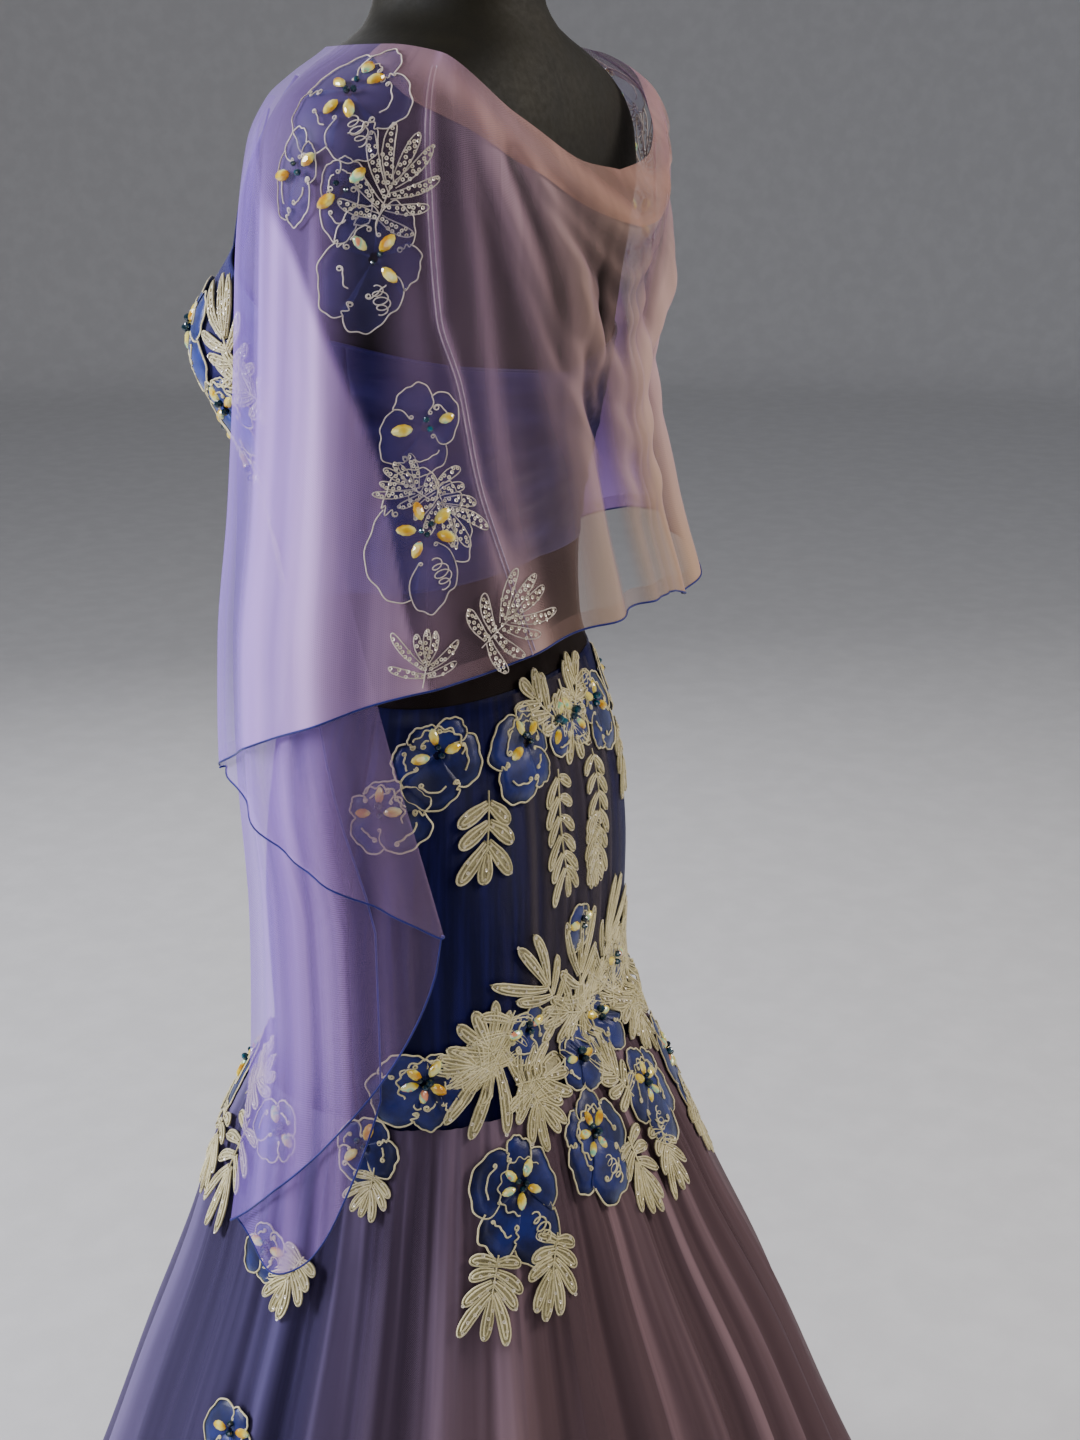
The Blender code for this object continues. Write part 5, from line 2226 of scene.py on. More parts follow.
    def _loop(self, finger: Finger, share: float) -> np.ndarray:
        """A cord up one side of a finger, round its tip and back.

        Args:
            finger: The finger.
            share: How much of its breadth the loop takes.

        Returns:
            The cord's path in the leaf's drawing.
        """
        end = 0.97 if share > 0.6 else 0.86
        tip = 0.75 + 0.25 * np.sin(np.linspace(0.2, 1.0, 5) * math.pi / 2)
        t = np.concatenate([np.linspace(0.04, 0.75, 5), tip])
        middle, aside = self._axis(finger, t * end)
        edge = (finger.half * share * self._swell(t))[:, None] * aside
        return np.concatenate([middle + edge, (middle - edge)[::-1]])

    @staticmethod
    def _swell(t: np.ndarray) -> np.ndarray:
        """A finger's breadth along it: narrow at the root, broadest past the middle, and round at the tip."""
        return (0.55 + 0.45 * step_up(0.0, 0.60, t)) * np.sqrt(np.clip(1.0 - np.clip(t, 0, 1) ** 7, 0.0, 1.0))


@dataclass
class Appliques:
    """The flowers and leaves of the whole dress."""

    thin_cord: float = 0.00052
    thick_cord: float = 0.00085
    cord_sides: int = 3
    sequin_width: float = 0.0028
    sequin_hole: float = 0.0009
    sequin_height: float = 0.0003
    sequin_spacing: float = 0.0026
    sparse_spacing: float = 0.0062
    seed: int = 11

    def build(self) -> None:
        """Makes the appliques zone by zone and side by side."""
        self.set_stones = SettingSewing()
        self.scatter = SequinSewing()
        self.marquise = marquise()
        self.bead = bead()
        self.sequin = sequin(self.sequin_width, self.sequin_hole, self.sequin_height)
        for zone in Zone:
            for side in Side:
                self._build_zone(zone, side)
        for template in (self.marquise, self.bead, self.sequin):
            bpy.data.objects.remove(template)

    def _motifs(self, zone: Zone, side: Side) -> Iterator[tuple[Motif, np.random.Generator]]:
        """Goes through the motifs of one zone and side, each with a draw of its own.

        Args:
            zone: The zone.
            side: The wearer's side.

        Yields:
            Each motif and its draw.
        """
        for place, motif in enumerate(MOTIFS):
            if motif.zone is zone and (motif.both or side is Side.LEFT):
                yield motif, np.random.default_rng(self.seed + place)

    def _build_zone(self, zone: Zone, side: Side) -> None:
        """Makes one zone's appliques on one side.

        Args:
            zone: The zone.
            side: The wearer's side.
        """
        basket = Workbasket()
        solids: dict[Kind, list[str]] = {kind: [] for kind in Kind}
        for motif, rng in self._motifs(zone, side):
            (Flower if motif.kind is Kind.FLOWER else Leaf)(Patch(motif, side), basket, rng).sew()
            if motif.solid:
                solids[motif.kind].append(motif.solid + (f"_{side.name.lower()}" if motif.both else ""))
        self._finish_zone(zone, side, basket, solids)

    def _finish_zone(
        self, zone: Zone, side: Side, basket: Workbasket, solids: dict[Kind, list[str]]
    ) -> None:
        """Turns one basket into pieces.

        Args:
            zone: The zone.
            side: The wearer's side.
            basket: What was gathered for it.
            solids: The solids that the pieces stand for.
        """
        ending = f"{zone.value}_{side.name.lower()}"
        on_cape = zone is Zone.CAPE
        petal_finish = {Zone.CAPE: VEILED_BLUE, Zone.BODICE: PETAL_BLUE_LIT}.get(zone, PETAL_BLUE_SHADED)
        for kind, slot, finish in (
            (Kind.FLOWER, Slot.BLUE_ORGANZA, petal_finish),
            (Kind.LEAF, Slot.IVORY_LACE, LEAF_FILL_AND_SHADE),
        ):
            if basket.points[kind]:
                points = np.concatenate(basket.points[kind])
                piece = add_mesh(f"{kind.value}_{ending}", points, basket.faces[kind], finish.material())
                present(piece, slot, solids[kind])
        radius, cord_finish = (self.thin_cord, VEILED_CORD) if on_cape else (self.thick_cord, IVORY_CORD)
        cords = cord(f"cords_{ending}", basket.cords, radius, self.cord_sides, cord_finish)
        present(cords, Slot.IVORY_LACE)
        for name, spots, template, finish in (
            ("stones", basket.stones, self.marquise, STONE),
            ("beads", basket.beads, self.bead, DARK_BEAD),
        ):
            source = add_mesh(f"{name}_spots", np.array([spot[0] for spot in spots]), [], None)
            for label, column in (("turn", 1), ("size", 2)):
                layer = source.data.attributes.new(label, "FLOAT_VECTOR", "POINT")
                layer.data.foreach_set("vector", np.array([s[column] for s in spots], np.float32).ravel())
            made = self.set_stones.run(f"{name}_{ending}", source, Stone=template, Finish=finish.material())
            present(made, Slot.BLUE_ORGANZA)
        self._sequins(zone, side, ending)

    def _sequins(self, zone: Zone, side: Side, ending: str) -> None:
        """Scatters sequins over the leaves of one zone.

        Args:
            zone: The zone.
            side: The wearer's side.
            ending: The end of the piece's name.
        """
        bed = Workbasket()
        for motif, rng in self._motifs(zone, side):
            if motif.kind is Kind.LEAF:
                Leaf(Patch(motif, side), bed, rng).spread()
        source = add_mesh("sequin_bed", np.concatenate(bed.points[Kind.LEAF]), bed.faces[Kind.LEAF], None)
        made = self.scatter.run(
            f"sequins_{ending}",
            source,
            Sequin=self.sequin,
            Spacing=self.sequin_spacing if zone in (Zone.CAPE, Zone.BODICE) else self.sparse_spacing,
            Seed=self.seed,
            Finish=SEQUIN.material(),
        )
        present(made, Slot.IVORY_LACE)


# The form and the dress


@dataclass
class DressForm:
    """The limbless form and its stand."""

    columns: int = 120
    rows: int = 110
    top: float = 1.560
    rim: float = 0.008
    sharp: float = 45.0
    nodes: tuple[str, ...] = ("form_pole", "form_base")

    def build(self) -> None:
        """Makes the torso smooth and gives the stand its paint."""
        angles = np.linspace(0.0, 360.0, self.columns, endpoint=False)
        heights = np.linspace(FORM_BOTTOM, self.top, self.rows)[:, None]
        shrink = self.rim * (1 - np.sqrt(1 - step_up(self.top - self.rim, self.top, heights) ** 2))
        points = polar(angles, body_radius(angles, heights, FORM_BUST) - shrink, heights)
        torso = add_mesh("torso", points, ring_faces(self.columns, self.rows), FORM_SKIN.material())
        torso.data.set_sharp_from_angle(angle=math.radians(self.sharp))
        present(torso, Slot.FORM_BLACK, ["form_torso"])
        for name in self.nodes:
            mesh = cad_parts[name].data
            mesh.materials.clear()
            mesh.materials.append(STAND_PAINT.material())


@dataclass
class Bodice:
    """The ruched bodice, its bound top edge and its straps."""

    rows: int = 66
    columns: int = 120
    ruche: float = 0.0016
    broad_ruche: float = 0.021
    fine_ruche: float = 0.0133
    piping: float = 0.0012
    foot: float = -61.0
    foot_spread: float = 11.0
    head: float = -44.0
    head_spread: float = 11.0
    seat: float = 0.0015
    strap_top: float = 1.440
    strap_rows: int = 36
    strap_columns: int = 26
    arch: float = 0.008
    outwards: tuple[float, float, float] = (0.3, -1.0, 0.4)
    pleat: float = 0.0007
    pleat_turns: float = 11.0
    binding_points: int = 300

    def build(self) -> None:
        """Makes the panels, the straps and the binding."""
        for name, start, end in (("bodice_front", -180.0, 0.0), ("bodice_back", 0.0, 180.0)):
            cloth = self._panel(start, end)
            piece = cloth.walled(f"{name}_cloth", VIOLET_SATIN, SATIN)
            present_cloth(piece, cloth, Slot.VIOLET_SATIN, Held.STRETCHED, ["torso"], [name])
        for side in Side:
            cloth = self._strap(side)
            name = f"strap_{side.name.lower()}"
            piece = cloth.walled(f"{name}_cloth", VIOLET_SATIN, SATIN)
            present_cloth(piece, cloth, Slot.VIOLET_SATIN, Held.STRETCHED, ["torso"], [name])
        angles = np.linspace(-180.0, 180.0, self.binding_points, endpoint=False)
        top = read(BODICE_TOP, "z", folded(angles))
        ring = polar(angles, bodice_radius(angles, top) - SATIN / 2, top)
        binding = cord("bodice_binding", [ring], self.piping, 8, VIOLET_SATIN, closed=True)
        present(binding, Slot.VIOLET_SATIN)

    def _ruching(self, angle: np.ndarray, z: np.ndarray) -> np.ndarray:
        """How far the chiffon's folds stand out: across the body, uneven and broken.

        Args:
            angle: Angles round the dress, in degrees.
            z: Heights, in metres.

        Returns:
            A height for each place, in metres.
        """
        drift = 0.004 * np.sin(np.radians(2.3 * angle) + 0.6) + 0.003 * np.sin(np.radians(5.1 * angle))
        broad = np.sin((z + drift) * 2 * math.pi / self.broad_ruche)
        swing = broad + 0.6 * np.sin((z - 1.7 * drift) * 2 * math.pi / self.fine_ruche)
        gather = 0.55 + 0.45 * np.sin(np.radians(3.7 * angle) + z * 31.0)
        return self.ruche * gather * np.clip(swing, -0.6, 1.6) / 1.6

    def _panel(self, start: float, end: float) -> Cloth:
        """One half of the bodice.

        Args:
            start: Where it starts, in degrees.
            end: Where it ends, in degrees.

        Returns:
            The panel's cloth.
        """
        angle = np.linspace(start, end, self.columns)[None, :]
        low = read(BODICE_BOTTOM, "z", folded(angle))
        high = read(BODICE_TOP, "z", folded(angle))
        share = np.linspace(0.0, 1.0, self.rows)[:, None]
        z = low + (high - low) * share
        angle = np.broadcast_to(angle, z.shape)
        fade = step_up(0.0, 0.06, share) * step_up(1.0, 0.94, share)
        return Cloth(polar(angle, bodice_radius(angle, z) + self._ruching(angle, z) * fade, z))

    def _strap(self, side: Side) -> Cloth:
        """A band with lengthwise pleats from the cup to the cape's front edge on the shoulder.

        Args:
            side: The wearer's side.

        Returns:
            The strap's cloth.
        """
        across = np.linspace(-1.0, 1.0, self.strap_columns)[None, :]
        share = np.linspace(0.0, 1.0, self.strap_rows)[:, None, None]
        foot_angle = self.foot + self.foot_spread * across
        foot_z = read(BODICE_TOP, "z", foot_angle) + self.seat
        foot = polar(foot_angle, bodice_radius(foot_angle, foot_z), foot_z)
        head_angle = self.head + self.head_spread * across
        head = polar(
            head_angle, body_radius(head_angle, self.strap_top, 0.0) + 2 * EASE + SATIN, self.strap_top
        )
        pleat = self.pleat * np.cos(across[..., None] * self.pleat_turns)
        bow = self.arch * np.sin(math.pi * share) + pleat * np.sin(math.pi * share) ** 0.5
        left = Cloth(foot * (1 - share) + head * share + np.array(self.outwards) * bow)
        return left if side is Side.LEFT else left.mirrored()


@dataclass
class Waist:
    """The sheer panels between the bodice and the skirt."""

    rows: int = 30
    columns: int = 120

    def build(self) -> None:
        """Makes both panels."""
        for name, start, end in (
            ("waist_mesh_left", WAIST_MESH_START, 90.0),
            ("waist_mesh_right", 90.0, 180.0 - WAIST_MESH_START),
        ):
            angle = np.linspace(start, end, self.columns)[None, :]
            high = read(BODICE_BOTTOM, "z", folded(angle))
            share = np.linspace(0.0, 1.0, self.rows)[:, None]
            z = WAIST_SEAM + (high - WAIST_SEAM) * share
            angle = np.broadcast_to(angle, z.shape)
            cloth = Cloth(polar(angle, body_radius(angle, z, 0.0) + EASE + TULLE, z))
            piece = cloth.single(f"{name}_net", WAIST_NET)
            present_cloth(piece, cloth, Slot.WAIST_MESH, Held.STRETCHED, ["torso"], [name])


@dataclass
class Skirt:
    """The satin skirt with its flared lining, the net over the hips and the gathered tulle below."""

    satin_rows: int = 80
    satin_columns: int = 112
    gore_rows: int = 60
    gore_columns: int = 110
    inner_rows: int = 30
    inner_columns: int = 420
    hem_roll: float = 0.0016
    roll_rise: float = 0.001
    roll_points: int = 480
    margin: float = 0.004
    overlay_rows: int = 60
    overlay_columns: int = 200
    overlay_start: float = 38.0
    overlay_fade: float = 26.0
    overlay_film: float = 0.0003
    overlay_rise: float = 0.0010
    gather: float = 0.0009
    inner_share: float = 0.45
    inner_lift: float = 0.0005
    inner_drop: float = 0.0007
    creases: tuple[Crease, ...] = table_of(
        Crease,
        (16.0, 1.020, 10.0, 0.840, 0.005, 0.014, 0.0012), (48.0, 1.000, 58.0, 0.820, 0.004, 0.010, -0.0008),
        (-20.0, 1.020, -6.0, 0.850, 0.005, 0.012, -0.0009),
        (-52.0, 1.010, -60.0, 0.830, 0.006, 0.013, 0.0010),
        (72.0, 1.010, 76.0, 0.800, 0.004, 0.012, 0.0011),
    )

    def build(self) -> None:
        """Makes the satin, the net and the tulle."""
        self._build_satin()
        self._build_overlay()
        self._build_gores()
        self._build_inner()

    def _satin(self, angle: np.ndarray, z: np.ndarray) -> np.ndarray:
        """The satin's outer face, with the soft creases over the hips.

        Args:
            angle: Angles round the dress, in degrees.
            z: Heights, in metres.

        Returns:
            Its radius at each place.
        """
        radius = satin_radius(angle, z)
        for crease in self.creases:
            radius = radius + crease_height(crease, folded(angle), z, radius) * step_up(0.78, 0.84, z)
        return radius

    def _build_satin(self) -> None:
        """Makes the front and back of the satin skirt and the roll of its hem."""
        heights = np.linspace(LINING_HEM, WAIST_SEAM, self.satin_rows)[:, None]
        for name, start, end in (("skirt_front", -180.0, 0.0), ("skirt_back", 0.0, 180.0)):
            angle, z = np.broadcast_arrays(np.linspace(start, end, self.satin_columns)[None, :], heights)
            cloth = Cloth(polar(angle, self._satin(angle, z), z))
            piece = cloth.walled(f"{name}_satin", NAVY_SATIN, SATIN)
            solids = [name, name.replace("skirt", "lining")]
            present_cloth(piece, cloth, Slot.NAVY_SATIN, Held.HUNG, ["torso"], solids)
        angles = np.linspace(0.0, 360.0, self.roll_points, endpoint=False)
        hem = LINING_HEM + self.roll_rise
        ring = polar(angles, satin_radius(angles, hem) - SATIN / 2, hem)
        roll = cord("lining_hem_roll", [ring], self.hem_roll, 6, NAVY_LINING, closed=True)
        present(roll, Slot.NAVY_SATIN)

    def _build_overlay(self) -> None:
        """Makes the brown net that lies over the satin from the side seams round the back."""
        angle = np.linspace(self.overlay_start, 180.0 - self.overlay_start, self.overlay_columns)[None, :]
        z = np.linspace(FLOUNCE_TOP + self.margin, WAIST_SEAM - self.margin / 2, self.overlay_rows)[:, None]
        angle, z = np.broadcast_arrays(angle, z)
        turn = np.radians(angle)
        folds = ripple(turn, 31, 2.0, 5) + 0.6 * np.sin(53 * turn + z * 9.0)
        rise = self.overlay_rise * (1.0 + 0.35 * folds)
        inside = np.minimum(angle - self.overlay_start, 180.0 - self.overlay_start - angle)
        edge = step_up(0.0, 6.0, inside)
        # The hip net's folds make it closer and paint it lighter
        layers = {FOLD_AND_HIGHLIGHT_LAYER: 0.4 * folds, EDGE_LAYER: step_up(0.0, self.overlay_fade, inside + 3.0 * folds)}
        cloth = Cloth(polar(angle, self._satin(angle, z) + self.overlay_film + rise * edge, z), layers)
        piece = cloth.single("hip_overlay", OVERLAY_NET)
        present_cloth(piece, cloth, Slot.WAIST_MESH, Held.GATHERED, ["skirt_back_satin"])

    def _gathered(self, angle: np.ndarray, z: np.ndarray) -> np.ndarray:
        """The outer tulle, with fine gathers that run out below its seam.

        Args:
            angle: Angles round the dress, in degrees.
            z: Heights, in metres.

        Returns:
            Its radius at each place.
        """
        turn = np.radians(angle)
        fine = ripple(turn, 97, 1.6, 6) + 0.7 * ripple(turn, 149, 2.1, 4)
        fade = step_up(0.38, 0.72, z) * (0.5 + 0.5 * step_up(0.74, 0.70, z))
        soft = 0.25 * fold_depth(z) * np.sin(61 * turn + 1.9 * np.sin(3 * turn + 0.5)) * step_up(0.0, 0.5, z)
        return flounce_radius(angle, z) + self.gather * fine * fade + np.minimum(soft, 0.0) * 0.5 + soft * 0.2

    def _closeness_and_highlight(self, angle: np.ndarray, z: np.ndarray) -> np.ndarray:
        """Where the outer tulle lies closer and is painted lighter: on its crests, and in streaks that run
        down from the gathers.

        Args:
            angle: Angles round the dress, in degrees.
            z: Heights, in metres.

        Returns:
            A value for each place.
        """
        turn = np.radians(angle)
        sway = 0.35 * np.sin(3 * turn + 4.0 * z)
        broad = ripple(turn, 13, 2.4, 4, sway) + 0.8 * ripple(turn, 22, 2.6, 5)
        streak = ripple(turn, 43, 2.1, 5) * (0.5 + 0.5 * np.sin(7 * turn + 5.0 * z))
        crest = unevenness(angle) * wave(angle)
        return np.clip(0.20 * crest + 0.48 * broad + 0.20 * streak + 0.15 * step_up(0.66, 0.73, z), -0.7, 1.2)

    def _build_gores(self) -> None:
        """Makes the gores of the outer tulle."""
        width = 360.0 / GORES
        z = np.linspace(FLOUNCE_HEM, FLOUNCE_TOP, self.gore_rows)[:, None]
        for gore in range(GORES):
            start = -90.0 + (gore - 0.5) * width
            angle = np.linspace(start, start + width, self.gore_columns)[None, :]
            angle, heights = np.broadcast_arrays(angle, z)
            layers = {FOLD_AND_HIGHLIGHT_LAYER: self._closeness_and_highlight(angle, heights)}
            cloth = Cloth(polar(angle, self._gathered(angle, heights), heights), layers)
            name = f"flounce_{gore + 1}"
            piece = cloth.single(f"{name}_tulle", SKIRT_NET)
            present_cloth(piece, cloth, Slot.MAUVE_TULLE, Held.GATHERED, SATIN_PIECES, [name])

    def _build_inner(self) -> None:
        """Makes the second layer of tulle, between the outer one and the lining."""
        angle = np.linspace(0.0, 360.0, self.inner_columns)[None, :]
        z = np.linspace(LINING_HEM + self.margin, FLOUNCE_TOP - self.margin, self.inner_rows)[:, None]
        angle, z = np.broadcast_arrays(angle, z)
        turn = np.radians(angle)
        share = self.inner_share + 0.25 * ripple(turn, 41, 1.3, 4) + 0.15 * np.sin(19 * turn)
        lining = satin_radius(angle, z) + self.inner_lift
        radius = lining + (flounce_radius(angle, z) - self.inner_drop - lining) * share
        # The inner tulle is closer and painted lighter where it bunches out
        layers = {FOLD_AND_HIGHLIGHT_LAYER: np.clip(1.6 * (share - self.inner_share), -0.6, 1.2)}
        cloth = Cloth(polar(angle, radius, z), layers)
        piece = cloth.single("inner_tulle", INNER_NET)
        present_cloth(piece, cloth, Slot.MAUVE_TULLE, Held.GATHERED, SATIN_PIECES)


@dataclass
class Cape:
    """The sheer cape: side panels over the arms, cascades behind their front edges, and a cowled back."""

    rows: int = 120
    side_columns: int = 100
    back_columns: int = 150
    cascade_rows: int = 80
    hem_cord: float = 0.0007
    hem_turn: float = 0.0105
    seam_half: float = 0.0013
    seam_cord: float = 0.0005
    turn_depth: float = 0.0006
    turn_rows: int = 4
    back_turn_columns: int = 120
    edge_columns: int = 260
    seam_rows: int = 130
    band: float = 0.026
    band_start: float = 2.0
    band_taper: float = 26.0
    band_rows: int = 16
    band_stand: float = 0.0012
    band_puff: float = 0.0014
    ripple: float = 0.26
    cascade_bow: float = 0.8
    # How much closer the net looks, and how much lighter it is painted, at the front edge, low down, where it
    # falls free, and so on
    front_gain: float = 0.5
    low_gain: float = 0.95
    free_gain: float = 1.8
    panel_gain: float = 2.1
    seam_gain: float = 2.0
    seam_widths: tuple[float, float] = (1.2, 5.0)
    fold_gain: float = 1.5
    panel: tuple[Edge, ...] = table_of(
        Edge,
        (-29.0, 1.400), (-12.0, 1.370), (-4.0, 1.340), (6.0, 1.277), (13.5, 1.209), (19.0, 1.120),
        (23.0, 1.073), (27.0, 1.000),
    )
    seam: tuple[Edge, ...] = table_of(
        Edge,
        (22.0, 1.446), (22.5, 1.381), (24.0, 1.300), (28.0, 1.257), (32.0, 1.197), (38.0, 1.140),
        (43.0, 1.088),
    )

    def build(self) -> None:
        """Makes the panels with their bands, seams and hems."""
        self._build_back()
        for side in Side:
            self._build_side(side)
            self._build_cascade(side)

    @staticmethod
    def _span(side: Side) -> tuple[float, float]:
        """The angles between which a side panel hangs.

        Args:
            side: The wearer's side.

        Returns:
            Where it starts and ends, in degrees.
        """
        if side is Side.LEFT:
            return CAPE_FRONT, CAPE_SEAM
        return 180.0 - CAPE_SEAM, 180.0 - CAPE_FRONT

    def _hanging(self, start: float, end: float, columns: int) -> Cloth:
        """A stretch of the cape from its hem up to its neckline.

        Args:
            start: Its first angle.
            end: Its last angle.
            columns: How many columns it has.

        Returns:
            The sheet.
        """
        angle = np.linspace(start, end, columns)[None, :]
        low = read(CAPE_HEM, "z", angle)
        high = read(CAPE_NECKLINE, "z", folded(angle))
        share = 1 - (1 - np.linspace(0.0, 1.0, self.rows)[:, None]) ** 1.3
        z = low + (high - low) * share
        angle = np.broadcast_to(angle, z.shape)
        return Cloth(polar(angle, cape_radius(angle, z), z), {FOLD_AND_HIGHLIGHT_LAYER: self._closeness_and_highlight(angle, z)})

    def _closeness_and_highlight(self, angle: np.ndarray, z: np.ndarray) -> np.ndarray:
        """Where the net lies closer and is painted lighter: in its folds, doubled over the arm, and where it
        falls free.

        Args:
            angle: Angles round the dress, in degrees.
            z: Heights, in metres.

        Returns:
            A value for each place.
        """
        aside = folded(angle)
        front = self.front_gain * step_up(12.0, -14.0, aside)
        doubled = step_up(-13.0, -8.0, aside) * step_up(0.010, -0.010, z - read(self.panel, "z", aside))
        free = self.free_gain * step_up(84.0, 104.0, angle) * step_up(1.36, 1.26, z)
        rising = self.seam[::-1]
        middle = np.interp(z, [edge.z for edge in rising], [edge.angle for edge in rising])
        narrow, wide = self.seam_widths
        felled = bell((aside - middle) / (narrow + (wide - narrow) * step_up(1.20, 1.09, z)))
        gathers = self.fold_gain * cape_folds(angle, z)
        return gathers + front + self.panel_gain * doubled + self.seam_gain * felled + free

    def _turned_hem(self, start: float, end: float, columns: int) -> Cloth:
        """The doubled strip along a hem, just behind the face.

        Args:
            start: Where it starts, in degrees.
            end: Where it ends, in degrees.
            columns: How many columns it has.

        Returns:
            The strip's cloth.
        """
        angle = np.linspace(start, end, columns)[None, :]
        z = read(CAPE_HEM, "z", angle) + np.linspace(0.0, self.hem_turn, self.turn_rows)[:, None]
        angle = np.broadcast_to(angle, z.shape)
        return Cloth(polar(angle, cape_radius(angle, z) - self.turn_depth, z))

    def _hem_cord(self, name: str, path: np.ndarray) -> bpy.types.Object:
        """Makes the blue roll along one edge."""
        return present(cord(name, [path], self.hem_cord, 6, BLUE_CORD), Slot.CAPE_TULLE)

    def _hem_path(self, start: float, end: float) -> np.ndarray:
        """The lower edge of the cape.

        Args:
            start: Where it starts, in degrees.
            end: Where it ends, in degrees.

        Returns:
            The edge's points.
        """
        angle = np.linspace(start, end, self.edge_columns)
        z = read(CAPE_HEM, "z", angle)
        return polar(angle, cape_radius(angle, z), z)

    def _build_back(self) -> None:
        """Makes the back, its turned-over neck band and its hem."""
        start, end = CAPE_SEAM, 180.0 - CAPE_SEAM
        cloth = self._hanging(start, end, self.back_columns)
        piece = cloth.single("cape_back_net", CAPE_NET)
        hem = self._hem_cord("cape_back_hem", self._hem_path(start, end))
        band = self._band()
        band_piece = band.single("cape_cowl_band", FOLDED_NET)
        turned = self._turned_hem(start, end, self.back_turn_columns)
        turned_piece = turned.single("cape_back_hem_turn", TURNED_NET)
        present_cloth(
            piece, cloth, Slot.CAPE_TULLE, Held.DRAPED, ["cape_side_left_net", "cape_side_right_net"],
            ["cape_back"],
        )
        present_cloth(band_piece, band, Slot.CAPE_TULLE, Held.FOLDED, ["cape_back_net"])
        present_cloth(turned_piece, turned, Slot.CAPE_TULLE, Held.FOLDED, ["cape_back_net"])

    def _band(self) -> Cloth:
        """The neck edge, turned over to the outside from shoulder to shoulder.

        Returns:
            The band's cloth.
        """
        angle = np.linspace(self.band_start, 180.0 - self.band_start, self.edge_columns)[None, :]
        high = read(CAPE_NECKLINE, "z", folded(angle))
        taper = step_up(0.0, self.band_taper, folded(angle) - self.band_start)
        depth = 0.006 + self.band * taper + 0.004 * np.sin(np.radians(5 * angle))
        share = np.linspace(0.0, 1.0, self.band_rows)[:, None]
        z = high - depth * (1 - share)
        angle = np.broadcast_to(angle, z.shape)
        puff = self.band_puff * np.sin(math.pi * np.clip(share, 0, 1))
        stand = self.band_stand + puff + 0.0006 * np.sin(np.radians(23 * angle))
        stand = stand * np.sqrt(np.clip(1.02 - share, 0, 1))
        rolls = np.sin(math.pi * share * 2.0 + np.radians(9 * angle)) * taper
        # The band is closer and painted lighter on its rolls
        return Cloth(polar(angle, cape_radius(angle, z) + stand, z), {FOLD_AND_HIGHLIGHT_LAYER: 0.5 * rolls})

    def _build_side(self, side: Side) -> None:
        """Makes one side panel, its seam and its hem.

        Args:
            side: The wearer's side.
        """
        ending = side.name.lower()
        start, end = self._span(side)
        cloth = self._hanging(start, end, self.side_columns)
        piece = cloth.single(f"cape_side_{ending}_net", CAPE_NET)
        hem = self._hem_cord(f"cape_side_{ending}_hem", self._hem_path(start, end))
        seam = cord(f"cape_seam_{ending}", self._seam(side), self.seam_cord, 5, SEAM_THREAD)
        present(seam, Slot.CAPE_TULLE)
        turned = self._turned_hem(start, end, self.side_columns)
        turned_piece = turned.single(f"cape_side_{ending}_hem_turn", TURNED_NET)
        solids = [f"cape_side_{ending}"]
        present_cloth(piece, cloth, Slot.CAPE_TULLE, Held.DRAPED, ["torso"], solids)
        present_cloth(turned_piece, turned, Slot.CAPE_TULLE, Held.FOLDED, [piece.name])

    def _seam(self, side: Side) -> list[np.ndarray]:
        """The two rolled edges of the seam, which swings back as it runs down.

        Args:
            side: The wearer's side.

        Returns:
            The points of each edge.
        """
        heights = [edge.z for edge in reversed(self.seam)]
        angles = [edge.angle for edge in reversed(self.seam)]
        z = np.linspace(heights[0], heights[-1], self.seam_rows)
        middle = smooth(heights, angles, z)
        paths = []
        for aside in (-self.seam_half, self.seam_half):
            angle = middle + np.degrees(aside / cape_radius(middle, z))
            angle = angle if side is Side.LEFT else 180.0 - angle
            above_hem = z >= read(CAPE_HEM, "z", angle)
            paths.append(polar(angle, cape_radius(angle, z) + self.seam_cord, z)[above_hem])
        return paths

    @staticmethod
    def _stops(layers: Sequence[Layer]) -> np.ndarray:
        """The cascade's zigzag as seen from above, on the wearer's left.

        Args:
            layers: Its layers, from the outermost in.

        Returns:
            A row for each column of cloth: its angle at the top and below, how many layers it lies behind the
            first, its hem's height and how far it is through its layer.
        """
        stops: list[tuple[float, ...]] = []

        def turn_back(top: float, low: float, step: float, hem: float, way: float) -> None:
            """Rounds a fold from one layer to the next.

            Args:
                top: The fold's angle at the top.
                low: Its angle at the bottom.
                step: The layer that it leaves.
                hem: The height of the hem there.
                way: 1 for a fold that points back, -1 for one that points forward.
            """
            for share in np.linspace(0.0, 1.0, FOLD_COLUMNS)[1:-1]:
                reach = way * FOLD_NOSE * math.sin(math.pi * share)
                depth = step + (1 - math.cos(math.pi * share)) / 2
                stops.append((top + reach, low + reach, depth, hem, 0.0))

        top = low = CAPE_FRONT
        hem = CASCADE_START_HEM
        turn_back(top, low, -1.0, hem, -1.0)
        for step, layer in enumerate(layers):
            for t in np.linspace(0.0, 1.0, LAYER_COLUMNS):
                here = hem + (layer.hem_end - hem) * t**layer.bow - layer.dip * math.sin(math.pi * t)
                angle_top = top + (layer.end_top - top) * t
                angle_low = low + (layer.end_low - low) * t
                stops.append((angle_top, angle_low, step, here, math.sin(math.pi * t)))
            top, low, hem = layer.end_top, layer.end_low, layer.hem_end
            if layer is not layers[-1]:
                turn_back(top, low, step, hem, 1.0 if step % 2 == 0 else -1.0)
        return np.array(stops)

